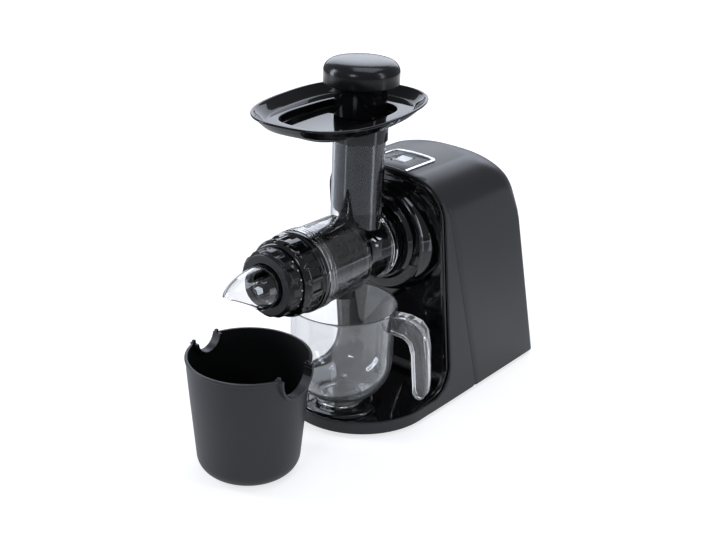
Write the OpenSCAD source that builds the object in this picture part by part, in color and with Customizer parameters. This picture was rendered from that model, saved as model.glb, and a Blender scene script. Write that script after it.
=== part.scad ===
// Cold press juicer with a horizontal drum.
// Millimetres, +Z up, front of the machine towards -Y.
// The machine's own axes start at the feed tube: X = 0 and Y = 0 on the tube's
// centre line, Z = 0 on the table. machine() moves them to the part's origin,
// which is the middle of the whole set's footprint.

/* [Machine body] */
// Width of the machine across its base
body_w = 158; // [150:1:166]
// Height of the crown of the rear cover
body_top = 262; // [256:1:268]
// Distance from the feed tube back to the foot of the rear face
body_rear = 251; // [248:1:256]
// Distance from the feed tube forward to the front of the deck
deck_front = 62; // [60:1:66]
// Height of the drum's centre line
axis_z = 185; // [183:1:187]
// Height of the rubber feet
foot_h = 5; // [4:0.5:6]
// Wall of the moulded covers
wall = 2.8; // [2.4:0.1:3.2]

/* [Drum] */
// Outer radius of the clear drum
drum_r = 39.5; // [39:0.5:40]
// Outer radius of the feed tube
tube_r = 26; // [25.5:0.25:26.5]
// Height of the feed tube's mouth
tube_top = 308; // [304:1:312]
// Number of grip ribs on the locking ring
ring_ribs = 16; // [12:1:20]
// Number of lobes on the pressure knob
knob_lobes = 12; // [8:1:14]

/* [Tray and pusher] */
// Half width of the tray's rim
tray_half_w = 67; // [62:1:70]
// Length of the tray's rim
tray_len = 197; // [190:1:200]
// Height of the tray's rim
tray_rim_z = 341; // [338:1:344]
// Radius of the pusher's cap
cap_r = 37; // [34:1:38]
// Height of the top of the pusher's cap
cap_top = 378; // [374:1:384]

/* [Jug and cup] */
// Outer radius of the jug's rim
jug_r = 55.5; // [54:0.5:56]
// Height of the jug's rim
jug_rim_z = 129; // [127:1:129]
// Turn of the jug's handle from the machine's side towards the rear
handle_turn = 14; // [0:1:20]
// Outer radius of the pulp cup's rim
cup_r = 60; // [57:0.5:61]
// Height of the pulp cup
cup_h = 120; // [114:1:122]

/* [Gear train] */
// Teeth on each small gear
pinion_teeth = 12; // [12:1:12]
// Teeth on each large gear
wheel_teeth = 72; // [72:1:72]

/* [Hidden] */
$fn = 96;
eps = 0.01;

// Stations of the pulp cup and of the jug's handle
cup_y = -153;
handle_reach = 97.5;
handle_half = 9;

// Housing: the side profile's straight lines, each as y = y0 - slope * z
half_w = body_w / 2;
shoulder_half = half_w - 3;
shoulder_r = 40;
crown = 3.3;
shoulder_z = body_top - crown - shoulder_r;
base_z = foot_h;
rim_z = 18;
lip_y0 = 79;
lip_slope = 0.14;
face_y0 = 96.5;
face_slope = 0.207;
seam_y0 = 127.6;
seam_slope = 0.324;
rear_slope = 1 / 3.3;
rear_corner_r = 45;
rear_lean = atan(rear_slope);
corner_tangent = rear_corner_r * tan((90 - rear_lean) / 2);
rear_y0 = body_rear + rear_slope * 10;
corner_y = rear_y0 - rear_slope * body_top - corner_tangent;
corner_z = body_top - rear_corner_r;
corner_end_z = body_top - corner_tangent * cos(rear_lean);
deck_mid_y = 20;
deck_depth = deck_front + deck_mid_y;
sweep_r = 26;
sweep_y = 46;
cheek_top = 238;
deck_floor = 14;
platform_z = 19;
jug_y = -16;

// Drum stations along Y
flange_front = -86;
flange_rear = -75;
flange_r = 41;
drum_wall = 2.5;
drum_bore = 37;
step_y = -22;
rear_bore = 33.6;
neck_r = 33;
neck_bore = 30.6;
collar_front = 14;
collar_rear = 21;
boss_front = 37.5;
drum_end = 50;
ring_front = -116;
ring_r = 38.5;
knob_front = -133;
knob_rear = -113;
knob_r = 33;
nozzle_r = 21.5;

// Gear train
coarse_module = 1.25;
fine_module = 1;
gear_play = 0.12;
output_drop = coarse_module * (pinion_teeth + wheel_teeth) / 2;
motor_drop = fine_module * (pinion_teeth + wheel_teeth) / 2;
idler_z = axis_z - output_drop;
motor_z = idler_z - motor_drop;
coarse_y = 86;
coarse_w = 10;
fine_y = 100;
fine_w = 8;
motor_front = 112;
motor_len = 62;
motor_r = 33;

// Where the feed tube stands in the part's own frame
machine_x = -(handle_reach * cos(handle_turn) + handle_half * sin(handle_turn)
    - side_half(foot_h)) / 2;
machine_y = -(rear_at(foot_h) + cup_y - cup_r) / 2;

// ---------- placing and shaping helpers ----------

module machine() {
    translate([machine_x, machine_y, 0]) children();
}

module at_axis(z = axis_z) {
    translate([0, 0, z]) children();
}

// Turns a shape's own Z axis to the machine's +Y
module along_y(y = 0) {
    translate([0, y, 0]) rotate([-90, 0, 0]) children();
}

// Revolves a list of [radius, y] points about the Y axis
module turned_y(points) {
    rotate([-90, 0, 0]) rotate_extrude() polygon(points);
}

// Ring between two radii, from y0 to y1
module ring_y(r_out, r_in, y0, y1) {
    turned_y([[r_in, y0], [r_out, y0], [r_out, y1], [r_in, y1]]);
}

// Extrudes a [y, z] outline across the machine
module across_x(half) {
    translate([-half, 0, 0]) rotate([90, 0, 90]) linear_extrude(2 * half) children();
}

// Extrudes an [x, z] outline from y0 to y1
module through_y(y0, y1) {
    translate([0, y1, 0]) rotate([90, 0, 0]) linear_extrude(y1 - y0) children();
}

function arc(cx, cy, r, a0, a1, n) = [for (i = [0:n]) let (a = a0 + (a1 - a0) * i / n)
    [cx + r * cos(a), cy + r * sin(a)]];

// ---------- housing shape ----------

function side_half(z) =
    z <= shoulder_z ? half_w - (half_w - shoulder_half) * z / shoulder_z
    : z <= shoulder_z + shoulder_r ? shoulder_half - shoulder_r
        + sqrt(max(0, shoulder_r * shoulder_r - (z - shoulder_z) * (z - shoulder_z)))
    : (shoulder_half - shoulder_r) * sqrt(max(0, (body_top - z) / crown));

function rear_at(z) =
    z <= corner_end_z ? rear_y0 - rear_slope * z
    : corner_y + sqrt(max(0, rear_corner_r * rear_corner_r - (z - corner_z) * (z - corner_z)));

foot_spots = [[56, -2], [56, 224]];
screw_spots = [[42, -30], [62, 196]];

// Places a shape at each spot and at its mirror image across the machine
module at_corners(spots) {
    for (p = spots, s = [-1, 1]) translate([s * p[0], p[1], 0]) children();
}

// Heights of the loft's level sections, closer together round the shoulder
shell_levels = concat([base_z, 60, 130, 190, shoulder_z],
    [for (a = [12, 25, 38, 51, 64, 77]) shoulder_z + shoulder_r * sin(a)],
    [body_top - crown, body_top - 0.45 * crown, body_top - 0.12 * crown]);

// Share of the wall that is measured downwards at a height: none on the side, all on the crown
function downward(z) = max(0, min(1, (z - shoulder_z) / shoulder_r));

// One level section of the housing, from the front right round the rear to the front left
function level_section(z, inset) =
    let (w = side_half(z) - inset * sqrt(1 - pow(downward(z), 2)), y1 = rear_at(z) - inset,
        r = min(w * 0.8, 11 + 22 * max(0, min(1, (z - 190) / 60))))
    [for (p = concat([[w, 34 - inset]], arc(w - r, y1 - r, r, 0, 90, 5),
        arc(r - w, y1 - r, r, 90, 180, 5), [[-w, 34 - inset]])) [p[0], p[1], z]];

// Solid loft through the level sections, drawn in by inset
module housing_body(inset, z_low) {
    levels = [for (z = shell_levels) z == base_z ? z_low : z - inset * downward(z)];
    rows = [for (i = [0:len(levels) - 1]) [for (p = level_section(shell_levels[i], inset))
        [p[0], p[1], levels[i]]]];
    n = len(rows[0]);
    m = len(rows);
    points = [for (row = rows) for (p = row) p];
    faces = concat([[for (i = [0:n - 1]) i]], [[for (i = [0:n - 1]) m * n - 1 - i]],
        [for (k = [0:m - 2]) for (i = [0:n - 1]) let (j = (i + 1) % n)
            each [[k * n + i, (k + 1) * n + i, k * n + j],
                [k * n + j, (k + 1) * n + i, (k + 1) * n + j]]]);
    polyhedron(points, faces, convexity = 4);
}

module housing_shell() {
    difference() {
        housing_body(0, base_z);
        housing_body(wall, base_z - 1);
    }
}

// Everything behind a leaning line, as a [y, z] outline
module behind(y0, slope, z0 = -5, z1 = 300) {
    polygon([[y0 - slope * z0, z0], [300, z0], [300, z1], [y0 - slope * z1, z1]]);
}

// D-shaped outline of the base, drawn in by inset, from the front round to y_back
function deck_outline(inset, y_back, n = 20) = concat(
    [[half_w - 0.3 - inset, y_back]],
    [for (i = [0:n]) let (a = -180 * i / n)
        [(half_w - 0.3 - inset) * cos(a), deck_mid_y + (deck_depth - inset) * sin(a)]],
    [[-(half_w - 0.3 - inset), y_back]]);

// Arch of the front panel, drawn in by inset, as an [x, z] outline
function arch_outline(inset, z_low) = let (c = shoulder_half - shoulder_r, r = shoulder_r - inset)
    concat([[half_w - inset - 1, z_low]],
        arc(c, shoulder_z, r, 0, 90, 10),
        [[c / 2, body_top - 0.25 * crown - inset], [0, body_top - inset],
            [-c / 2, body_top - 0.25 * crown - inset]],
        arc(-c, shoulder_z, r, 90, 180, 10),
        [[-(half_w - inset - 1), z_low]]);

// ---------- covers and base ----------

// Cord outlet, square to the leaning rear face
module at_cord() {
    translate([-42, rear_at(32), 32]) rotate([rear_lean, 0, 0]) children();
}

module rear_cover() {
    vents = 9;
    color("#3c3d42") machine() difference() {
        intersection() {
            housing_shell();
            union() {
                across_x(100) behind(seam_y0, seam_slope);
                across_x(100) intersection() {
                    behind(lip_y0, lip_slope);
                    translate([0, cheek_top]) square([300, 60]);
                }
            }
        }
        // opening for the switch plate
        translate([-24, 46, body_top - 12]) cube([48, 48, 20]);
        // cord outlet in the rear face
        at_cord() along_y(-12) cylinder(h = 30, r = 7);
        // air slots low in the rear face
        for (i = [0:vents - 1]) translate([-2 + i * 6, 200, 30]) cube([2.5, 60, 34]);
    }
}

// Front edge of cheek and lip, proud by a little: up the lean and round the sweep to the deck
function front_edge(proud, top) = concat(
    [[lip_y0 - lip_slope * top - proud, top]],
    arc(sweep_y, rim_z + sweep_r, sweep_r - proud, -8, -90, 8));

// Side profile of the matt front frame: deck rim, sweep and leaning cheek
function frame_profile() = concat(
    [[-90, base_z], [seam_y0 - seam_slope * base_z, base_z],
        [seam_y0 - seam_slope * cheek_top, cheek_top]],
    front_edge(0, cheek_top), [[-90, rim_z]]);

module front_frame() {
    color("#3a3b40") machine() union() {
        intersection() {
            housing_shell();
            across_x(100) polygon(frame_profile());
        }
        translate([0, 0, base_z]) linear_extrude(rim_z - base_z) difference() {
            polygon(deck_outline(0, 40));
            polygon(deck_outline(wall, 41));
        }
    }
}

// Gloss insert: recessed arch with its lip, and the deck with the jug's platform
module front_panel() {
    lip = 6;
    fit = wall + 0.5;
    color("#101114") machine() difference() {
        union() {
            difference() {
                intersection() {
                    through_y(30, 110) polygon(arch_outline(fit, deck_floor - 3));
                    across_x(100) difference() {
                        polygon(concat([[200, 270]], front_edge(1, 270), [[sweep_y, 0], [200, 0]]));
                        behind(face_y0 + 2.1, face_slope);
                    }
                }
                intersection() {
                    through_y(20, 110) polygon(arch_outline(fit + lip, 0));
                    across_x(100) difference() {
                        behind(-10, 0);
                        behind(face_y0, face_slope);
                    }
                }
            }
            translate([0, 0, deck_floor - 3]) linear_extrude(3) polygon(deck_outline(fit, 93));
            translate([0, jug_y, deck_floor - 1])
                cylinder(h = platform_z - deck_floor + 1, r1 = 42.4, r2 = 40.6);
        }
        // hole for the drum socket
        at_axis() along_y(20) cylinder(h = 100, r = 56);
        // dished seat for the jug's foot
        translate([0, jug_y, platform_z - 1]) cylinder(h = 2, r = 33);
    }
}

// Round black boss that carries the drum, with three bayonet slots
module drum_socket() {
    lug_turn = 30;
    color("#0f1012") machine() difference() {
        union() {
            // flared bell, cut off where it meets the leaning face
            intersection() {
                at_axis() turned_y(concat([[0, boss_front - 1], [35, boss_front - 1], [38, 33.2],
                    [42, 33.2], [44.5, boss_front], [52.8, boss_front]],
                    arc(52.8, boss_front + 2.4, 2.4, -70, 0, 3),
                    [[58.2, boss_front + 8], [60.6, boss_front + 14], [62.2, boss_front + 22],
                        [63, boss_front + 34], [0, boss_front + 34]]));
                across_x(100) polygon([[0, 0], [face_y0 - 0.05, 0],
                    [face_y0 - 0.05 - face_slope * 300, 300], [0, 300]]);
            }
            at_axis() along_y(boss_front + 4) cylinder(h = 66 - boss_front - 4, r = 55);
        }
        // mouth, lug chamber, coupling bore and hollow back
        at_axis() {
            along_y(20) cylinder(h = 30, r = neck_r + 0.6);
            along_y(44.5) cylinder(h = 8, r = 39.6);
            along_y(50) cylinder(h = 30, r = 12.6);
            along_y(58) cylinder(h = 3.1, r = 16.1);
            along_y(61) cylinder(h = 10, r = 50);
            for (a = [0:120:240]) rotate([0, a + 90 - lug_turn, 0])
                translate([30, 30, -7.6]) cube([9.6, 18, 15.2]);
        }
    }
}

module base_plate() {
    color("#202124") machine() difference() {
        union() {
            translate([0, 0, base_z]) linear_extrude(2.5) polygon(concat(
                deck_outline(wall + 0.3, 200),
                arc(-(half_w - 14), 238, 10, 180, 90, 4), arc(half_w - 14, 238, 10, 90, 0, 4)));
            at_corners(screw_spots) translate([0, 0, base_z]) cylinder(h = 5.5, r = 4.5);
        }
        for (i = [-5:5]) translate([i * 7 - 1.5, 170, 0]) cube([3, 50, 20]);
        at_corners(screw_spots) cylinder(h = 30, r = 1.7);
        at_corners(foot_spots) cylinder(h = 30, r = 2.5);
    }
}

module rubber_feet() {
    color("#151515") machine() at_corners(foot_spots) rotate_extrude()
        polygon([[0, 0], [10.8, 0], [12, 1.2], [12, base_z], [2.4, base_z], [2.4, base_z + 2.5],
            [3.4, base_z + 2.6], [2.2, base_z + 5], [0, base_z + 5]]);
}

module base_screws() {
    color("#9a9ca0") machine() at_corners(screw_spots) translate([0, 0, base_z - 1.6]) difference() {
        union() {
            cylinder(h = 1.6, r = 3.2);
            cylinder(h = 7, r = 1.65);
        }
        for (a = [0, 90]) rotate(a) cube([0.7, 3.6, 2], center = true);
    }
}

// ---------- switch ----------

// Crown of the cover's top, as a slab between two heights below the crown
module crown_slab(y0, y1, half, proud, thick) {
    c = shoulder_half - shoulder_r;
    top = function (x) body_top - crown * x * x / (c * c) + proud;
    through_y(y0, y1) polygon(concat(
        [for (i = [-6:6]) [half * i / 6, top(half * i / 6)]],
        [for (i = [6:-1:-6]) [half * i / 6, top(half * i / 6) - thick]]));
}

module switch_plate() {
    color("#26272b") machine() difference() {
        crown_slab(46.2, 93.8, 23.8, 0.3, 3.2);
        translate([-8.2, 62.8, body_top - 12]) cube([16.4, 22.4, 20]);
    }
}

module switch_trim() {
    color("#c9cbd0") machine() difference() {
        crown_slab(44.5, 98, 27, 1.3, 1.1);
        translate([-24, 0, body_top - 12]) cube([48, 93.9, 20]);
    }
}

module switch_housing() {
    color("#18191b") machine() difference() {
        translate([-11, 60.5, body_top - 20]) cube([22, 27, 16.6]);
        translate([-8.6, 62.8, body_top - 18]) cube([17.2, 22.4, 30]);
        // pivot sockets in the side walls
        translate([-20, 74, body_top - 8]) rotate([0, 90, 0]) cylinder(h = 40, r = 1.55);
    }
}

module rocker_switch() {
    color("#eceef0") machine() translate([0, 74, body_top - 8]) union() {
        translate([-7.2, 0, 0]) rotate([90, 0, 90]) linear_extrude(14.4)
            polygon([[-8.8, 8], [-9.2, 5], [-3.8, -6], [3.8, -6], [9.2, 5], [8.8, 8],
                [4.6, 7.2], [0, 6.9], [-4.6, 7.2]]);
        rotate([0, 90, 0]) cylinder(h = 21, r = 1.5, center = true);
    }
}

module cord_gland() {
    color("#161719") machine() at_cord() difference() {
        union() {
            along_y(-7) cylinder(h = 8, r = 6.8);
            along_y(0.05) cylinder(h = 3.2, r = 9.5);
            along_y(-7) cylinder(h = 3.6, r = 8.6);
        }
        along_y(-20) cylinder(h = 40, r = 3.6);
    }
}

module control_board() {
    color("#1f5a3a") machine() translate([20, 190, base_z + 2.5]) union() {
        cube([44, 1.6, 60]);
        translate([6, -9, 8]) cube([14, 9.1, 12]);
        translate([26, -11, 30]) cube([12, 11.1, 16]);
        translate([8, -5, 34]) cube([10, 5.1, 16]);
    }
}

module filter_capacitor() {
    color("#b88a2a") machine() translate([-54, 176, base_z + 2.5])
        cube([12, 26, 18]);
}

// ---------- motor and gears ----------

// Point on an involute of base radius b, unrolled by t degrees
function involute(b, t) = let (k = t * PI / 180) [b * (cos(t) + k * sin(t)), b * (sin(t) - k * cos(t))];
function polar_angle(p) = atan2(p[1], p[0]);

// Angle at which the involute from base radius rb reaches radius r
function roll_angle(rb, r) = polar_angle(involute(rb, sqrt(max(0, r * r / (rb * rb) - 1)) * 180 / PI));

// Spur gear outline with pressure angle 20; add is the addendum in modules
function gear_outline(m, teeth, play, add) =
    let (rp = m * teeth / 2, rb = rp * cos(20), ra = rp + add * m, rf = rp - 1.25 * m,
        r0 = max(rf + 0.02, rb), half = 90 / teeth - play / rp * 90 / PI + roll_angle(rb, rp),
        flank = [for (r = [r0, (r0 + ra) / 2, ra]) [r, half - roll_angle(rb, r)]],
        side = concat([[rf, flank[0][1]]], flank))
    [for (i = [0:teeth - 1]) let (mid = i * 360 / teeth) each concat(
        [for (k = [0:3]) let (a = mid - side[k][1]) [side[k][0] * cos(a), side[k][0] * sin(a)]],
        [for (k = [3:-1:0]) let (a = mid + side[k][1]) [side[k][0] * cos(a), side[k][0] * sin(a)]])];

// Solid gear on the Y axis, turned by phase degrees
module gear_y(m, teeth, y, w, phase, add) {
    along_y(y) rotate(phase) linear_extrude(w) polygon(gear_outline(m, teeth, gear_play, add));
}

module gear_case_front() {
    color("#4a4c50") machine() difference() {
        union() {
            along_y(80) translate([0, -axis_z, 0]) cylinder(h = 18, r = 52);
            along_y(80) translate([0, -idler_z, 0]) cylinder(h = 18, r = 41);
            translate([-41, 80, idler_z]) cube([82, 18, output_drop]);
            along_y(69) translate([0, -axis_z, 0]) cylinder(h = 12, r = 15);
            // pillars that carry the case on the drum socket
            for (a = [35:110:145], s = [0, 180]) along_y(61)
                translate([46 * cos(a + s), 46 * sin(a + s) - axis_z, 0]) cylinder(h = 20, r = 3.9);
        }
        along_y(84) translate([0, -axis_z, 0]) cylinder(h = 20, r = 48.5);
        along_y(84) translate([0, -idler_z, 0]) cylinder(h = 20, r = 37.8);
        translate([-37.8, 84, idler_z]) cube([75.6, 20, output_drop]);
        along_y(60) translate([0, -axis_z, 0]) cylinder(h = 40, r = 6.6);
        along_y(70.9) translate([0, -axis_z, 0]) cylinder(h = 10, r = 11);
        along_y(81) translate([0, -idler_z, 0]) cylinder(h = 10, r = 3.05);
    }
}

module gear_case_rear() {
    color("#55575c") machine() difference() {
        union() {
            along_y(98) translate([0, -axis_z, 0]) cylinder(h = 14, r = 52);
            along_y(98) translate([0, -idler_z, 0]) cylinder(h = 14, r = 41);
            along_y(98) translate([0, -motor_z, 0]) cylinder(h = 14, r = 22);
            translate([-41, 98, idler_z]) cube([82, 14, output_drop]);
        }
        along_y(90) translate([0, -idler_z, 0]) cylinder(h = 19, r = 37.8);
        along_y(90) translate([0, -motor_z, 0]) cylinder(h = 19, r = 9);
        along_y(90) translate([0, -motor_z, 0]) cylinder(h = 30, r = 5.4);
        along_y(90) translate([0, -axis_z, 0]) cylinder(h = 15.5, r = 6.05);
        along_y(90) translate([0, -idler_z, 0]) cylinder(h = 20.5, r = 3.05);
        at_case_screws() translate([0, 0, -3.2]) cylinder(h = 5, r = 1.85);
    }
}

// Places a shape at each screw of the gear case, pointing to the rear
module at_case_screws() {
    for (s = [-1, 1], z = [axis_z + 32, idler_z - 20])
        along_y(112) translate([s * (z > axis_z ? 36 : 32), -z, 0]) children();
}

module gear_case_screws() {
    color("#a0a2a6") machine() at_case_screws() union() {
        cylinder(h = 2.4, r = 3.4);
        translate([0, 0, -3]) cylinder(h = 3.1, r = 1.8);
    }
}

module motor_can() {
    color("#8d9096") machine() at_axis(motor_z) difference() {
        ring_y(motor_r, 8, motor_front, motor_front + motor_len);
        ring_y(motor_r - 2, 0, motor_front + 2.5, motor_front + motor_len + 1);
    }
}

module motor_magnets() {
    color("#5b5d61") machine() at_axis(motor_z) difference() {
        ring_y(motor_r - 2, 26.5, motor_front + 12, motor_front + 50);
        for (s = [-1, 1]) translate([-8, motor_front, s > 0 ? 0 : -40]) cube([16, 60, 40]);
    }
}

module motor_bearing() {
    color("#c2c4c8") machine() at_axis(motor_z) ring_y(8, 3.05, motor_front, motor_front + 4.5);
}

module motor_end_bell() {
    y = motor_front + motor_len;
    color("#2a2b2e") machine() at_axis(motor_z) difference() {
        union() {
            ring_y(motor_r, 0, y, y + 5);
            ring_y(motor_r - 2.1, motor_r - 5, y - 5, y);
        }
        ring_y(3.05, 0, y - 1, y + 6);
        for (a = [0:45:315]) rotate([0, a, 0]) along_y(y - 1) translate([20, 0, 0])
            cylinder(h = 8, r = 4);
    }
}

module motor_clamp() {
    color("#3a3c40") machine() difference() {
        union() {
            at_axis(motor_z) ring_y(motor_r + 4, motor_r + 0.05, 146, 158);
            for (s = [-1, 1]) translate([s * 32 - 6, 146, base_z + 2.5])
                cube([12, 12, motor_z - base_z - 22]);
        }
        at_axis(motor_z) ring_y(motor_r + 0.05, 0, 140, 170);
    }
}

module motor_rotor() {
    slots = 8;
    color("#a9793c") machine() at_axis(motor_z) difference() {
        union() {
            ring_y(25, 0, motor_front + 12, motor_front + 50);
            ring_y(3, 0, fine_y - 0.5, motor_front + 79);
            ring_y(11, 0, motor_front + 50, motor_front + 56);
        }
        for (i = [0:slots - 1]) rotate([0, i * 360 / slots, 0])
            translate([20, motor_front + 10, -2]) cube([8, 42, 4]);
    }
}

module motor_pinion() {
    color("#b9a25c") machine() at_axis(motor_z) difference() {
        gear_y(fine_module, pinion_teeth, fine_y, fine_w, 0, 1);
        along_y(fine_y - 1) cylinder(h = fine_w + 2, r = 3);
    }
}

module cooling_fan() {
    blades = 7;
    color("#303236") machine() at_axis(motor_z) difference() {
        union() {
            ring_y(9, 3, 182, 188);
            for (i = [0:blades - 1]) rotate([0, i * 360 / blades, 0])
                translate([7, 185, 0]) rotate([40, 0, 0]) cube([20, 7, 1.2], center = false);
        }
        ring_y(3, 0, 170, 200);
    }
}

module idler_shaft() {
    color("#b8babd") machine() at_axis(idler_z) ring_y(3, 0, 81.2, 110.2);
}

module idler_gear() {
    color("#d8d2bc") machine() at_axis(idler_z) difference() {
        union() {
            gear_y(coarse_module, pinion_teeth, coarse_y, coarse_w, 90 + 180 / pinion_teeth, 1);
            gear_y(fine_module, wheel_teeth, fine_y, fine_w, 90 + 180 / wheel_teeth, 0.75);
            along_y(coarse_y + 1) cylinder(h = 14, r = 5.4);
        }
        along_y(coarse_y - 1) cylinder(h = 40, r = 3);
    }
}

module output_bearing() {
    color("#c2c4c8") machine() at_axis() ring_y(10.9, 6.05, 71, 79);
}

module output_shaft() {
    color("#b8babd") machine() at_axis() ring_y(6, 0, 64, 105);
}

module output_gear() {
    spokes = 6;
    color("#e2ddc8") machine() at_axis() difference() {
        gear_y(coarse_module, wheel_teeth, coarse_y, coarse_w, 90, 0.75);
        along_y(coarse_y - 1) cylinder(h = coarse_w + 2, r = 6);
        for (i = [0:spokes - 1]) rotate([0, i * 360 / spokes, 0]) along_y(coarse_y - 1)
            translate([26, 0, 0]) cylinder(h = coarse_w + 2, r = 8);
    }
}

module output_coupling() {
    color("#9ea0a5") machine() at_axis() difference() {
        ring_y(12, 0, 52, 68.5);
        ring_y(6, 0, 64, 70);
        along_y(50) cylinder(h = 14, r = 8.2, $fn = 6);
    }
}

module socket_seal() {
    color("#8e2f2a") machine() at_axis() ring_y(16, 12.1, 58, 61);
}

// ---------- drum and what turns in it ----------

flight_turns = 4.2;
flight_steps = 84;
flight_r = 33;
core_front = -80;
core_rear = 27;

function core_r(y) = 13 + 8 * (core_rear - y) / (core_rear - core_front);

// Screw flight: a ribbon wound about the Y axis, thick at its root
module flight() {
    y_first = core_rear - 9;
    y_last = core_front + 9;
    rows = [for (i = [0:flight_steps]) let (k = i / flight_steps, y = y_first + (y_last - y_first) * k,
            r0 = core_r(y) - 3, r1 = flight_r - 8 * max(0, k - 0.93) / 0.07)
        [[r0, y - 4], [r1, y - 1.5], [r1, y + 1.5], [r0, y + 4]]];
    points = [for (i = [0:flight_steps]) let (a = 360 * flight_turns * i / flight_steps)
        for (p = rows[i]) [p[0] * cos(a), p[1], p[0] * sin(a)]];
    faces = concat([[0, 1, 2, 3]], [[for (j = [3:-1:0]) flight_steps * 4 + j]],
        [for (i = [0:flight_steps - 1]) for (j = [0:3]) let (k = (j + 1) % 4)
            each [[i * 4 + j, (i + 1) * 4 + j, i * 4 + k],
                [i * 4 + k, (i + 1) * 4 + j, (i + 1) * 4 + k]]]);
    polyhedron(points, faces, convexity = 8);
}

module auger() {
    nose = -147;
    color("#1b1c1f") machine() at_axis() difference() {
        union() {
            turned_y([[0, nose], [4, nose + 1], [7.5, nose + 4.5], [9.4, nose + 10],
                [10.2, nose + 20], [10.8, -104], [19, -84], [core_r(core_front), core_front],
                [core_r(core_rear), core_rear], [18, core_rear + 1], [28, core_rear + 3.5],
                [30, core_rear + 4.5], [30, 36], [28.6, 36], [28.6, 39], [30, 39], [30, 44],
                [0, 44]]);
            flight();
        }
        along_y(18) cylinder(h = 40, r = 7);
        // milled flats that break the pulp at the nose
        for (s = [-1, 1]) translate([s > 0 ? 6.4 : -16.4, nose - 1, -12]) cube([10, 24, 24]);
    }
}

module auger_shaft() {
    color("#c8cacd") machine() at_axis() union() {
        along_y(18) cylinder(h = 27, r = 7);
        along_y(44) cylinder(h = 19, r = 7.9, $fn = 6);
    }
}

module auger_seal() {
    color("#9a2f28") machine() at_axis() ring_y(30.45, 28.6, 36, 39);
}

module drum() {
    color([0.75, 0.8, 0.85, 0.45]) machine() at_axis() difference() {
        union() {
            // body with its front flange, steps and bayonet neck
            turned_y([[0, flange_front], [flange_r - 0.6, flange_front],
                [flange_r, flange_front + 0.6], [flange_r, flange_front + 3.6],
                [flange_r - 0.7, flange_front + 4], [flange_r, flange_front + 4.4],
                [flange_r, flange_front + 7], [flange_r - 0.7, flange_front + 7.4],
                [flange_r, flange_front + 7.8], [flange_r, flange_rear], [drum_r, flange_rear],
                [drum_r, step_y - 1], [drum_r - 1, step_y], [36.3, step_y],
                [36.3, collar_front], [38.5, collar_front + 1], [38.5, collar_rear],
                [neck_r, collar_rear + 1], [neck_r, drum_end], [0, drum_end]]);
            // feed tube with a fillet ring at its root
            translate([0, 0, 20]) cylinder(h = tube_top - axis_z - 20, r = tube_r);
            // juice outlet under the drum
            translate([0, jug_y, -47]) cylinder(h = 14, r = 9.5);
            // guide block on the side
            translate([30, -20, 1]) cube([8.2, 14, 20]);
            // bayonet lugs
            for (a = [0:120:240]) rotate([0, a + 90, 0]) intersection() {
                translate([30, 45.2, -7]) cube([9, 4.8, 14]);
                ring_y(39, 0, 40, 55);
            }
        }
        // inside of the drum
        turned_y([[0, flange_front - 1], [drum_bore, flange_front - 1], [drum_bore, step_y - 4],
            [rear_bore, step_y - 1], [rear_bore, collar_rear + 2], [neck_bore, collar_rear + 8],
            [neck_bore, drum_end + 1], [0, drum_end + 1]]);
        // inside of the feed tube
        cylinder(h = tube_top - axis_z + 1, r = tube_r - 2);
        // inside of the outlet
        translate([0, jug_y, -60]) cylinder(h = 40, r = 7);
    }
}

module outlet_valve() {
    color("#a33b30") machine() translate([0, jug_y, axis_z - 48.6]) difference() {
        cylinder(h = 8, r = 11);
        translate([0, 0, 1.6]) cylinder(h = 10, r = 9.5);
        translate([0, 0, -1]) cylinder(h = 10, r = 6);
    }
}

module strainer_frame() {
    ribs = 8;
    color("#17181a") machine() at_axis() union() {
        ring_y(36.9, 34.1, -72.8, -68);
        ring_y(36.7, 34.1, -50, -47);
        ring_y(36.9, 34.1, -30, -26.5);
        for (i = [0:ribs - 1]) rotate([0, i * 360 / ribs + 22.5, 0])
            translate([34.6, -70, -1.6]) cube([1.7, 42, 3.2]);
    }
}

module strainer_mesh() {
    rows = 5;
    cols = 20;
    color("#b4b7bb") machine() at_axis() difference() {
        ring_y(34.1, 33.5, -72, -28);
        for (j = [0:rows - 1], i = [0:cols / 2 - 1]) rotate([0, (i + 0.5) * 360 / cols, 0])
            translate([-40, -67 + j * 7.4 + (j > 2 ? 1 : 0), -1.5]) cube([80, 4.4, 3]);
    }
}

// End cap core: the pulp leaves through it, round the auger's nose
module nozzle() {
    color("#111214") machine() at_axis() difference() {
        turned_y([[0, knob_front - 1], [17, knob_front - 1], [17, knob_front + 6.2],
            [nozzle_r, knob_front + 6.2], [nozzle_r, -102], [26, -98], [31, -86], [31, -75.7],
            [36.8, -75.7], [36.8, -74.3], [0, -74.3]]);
        turned_y([[0, -140], [15, -140], [15, -104], [24, -86], [29, -76], [33, -74.3], [33, -72],
            [0, -72]]);
    }
}

module locking_ring() {
    pocket = 360 / ring_ribs;
    color("#121316") machine() at_axis() difference() {
        turned_y([[27.4, ring_front], [34.5, ring_front], [ring_r - 1.6, ring_front + 2.6],
            [ring_r, ring_front + 6], [ring_r, -93], [40.6, -92], [40.6, -87.2], [39.8, -86.4],
            [36.6, -86.4], [36.6, -76], [31.4, -76], [31.4, -92], [27.4, -104]]);
        // rectangular grip pockets
        for (i = [0:ring_ribs - 1]) rotate([0, i * pocket, 0])
            translate([ring_r - 1.9, ring_front + 7, -4.6]) cube([6, 14.5, 9.2]);
        for (i = [0:ring_ribs - 1]) rotate([0, (i + 0.5) * pocket, 0])
            translate([ring_r + 1.6, ring_front - 1, 0]) along_y() cylinder(h = 8, r = 3.4);
    }
}

module ring_gasket() {
    color("#8f2d27") machine() at_axis() ring_y(36.8, 34, -74.3, -72.8);
}

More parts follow.
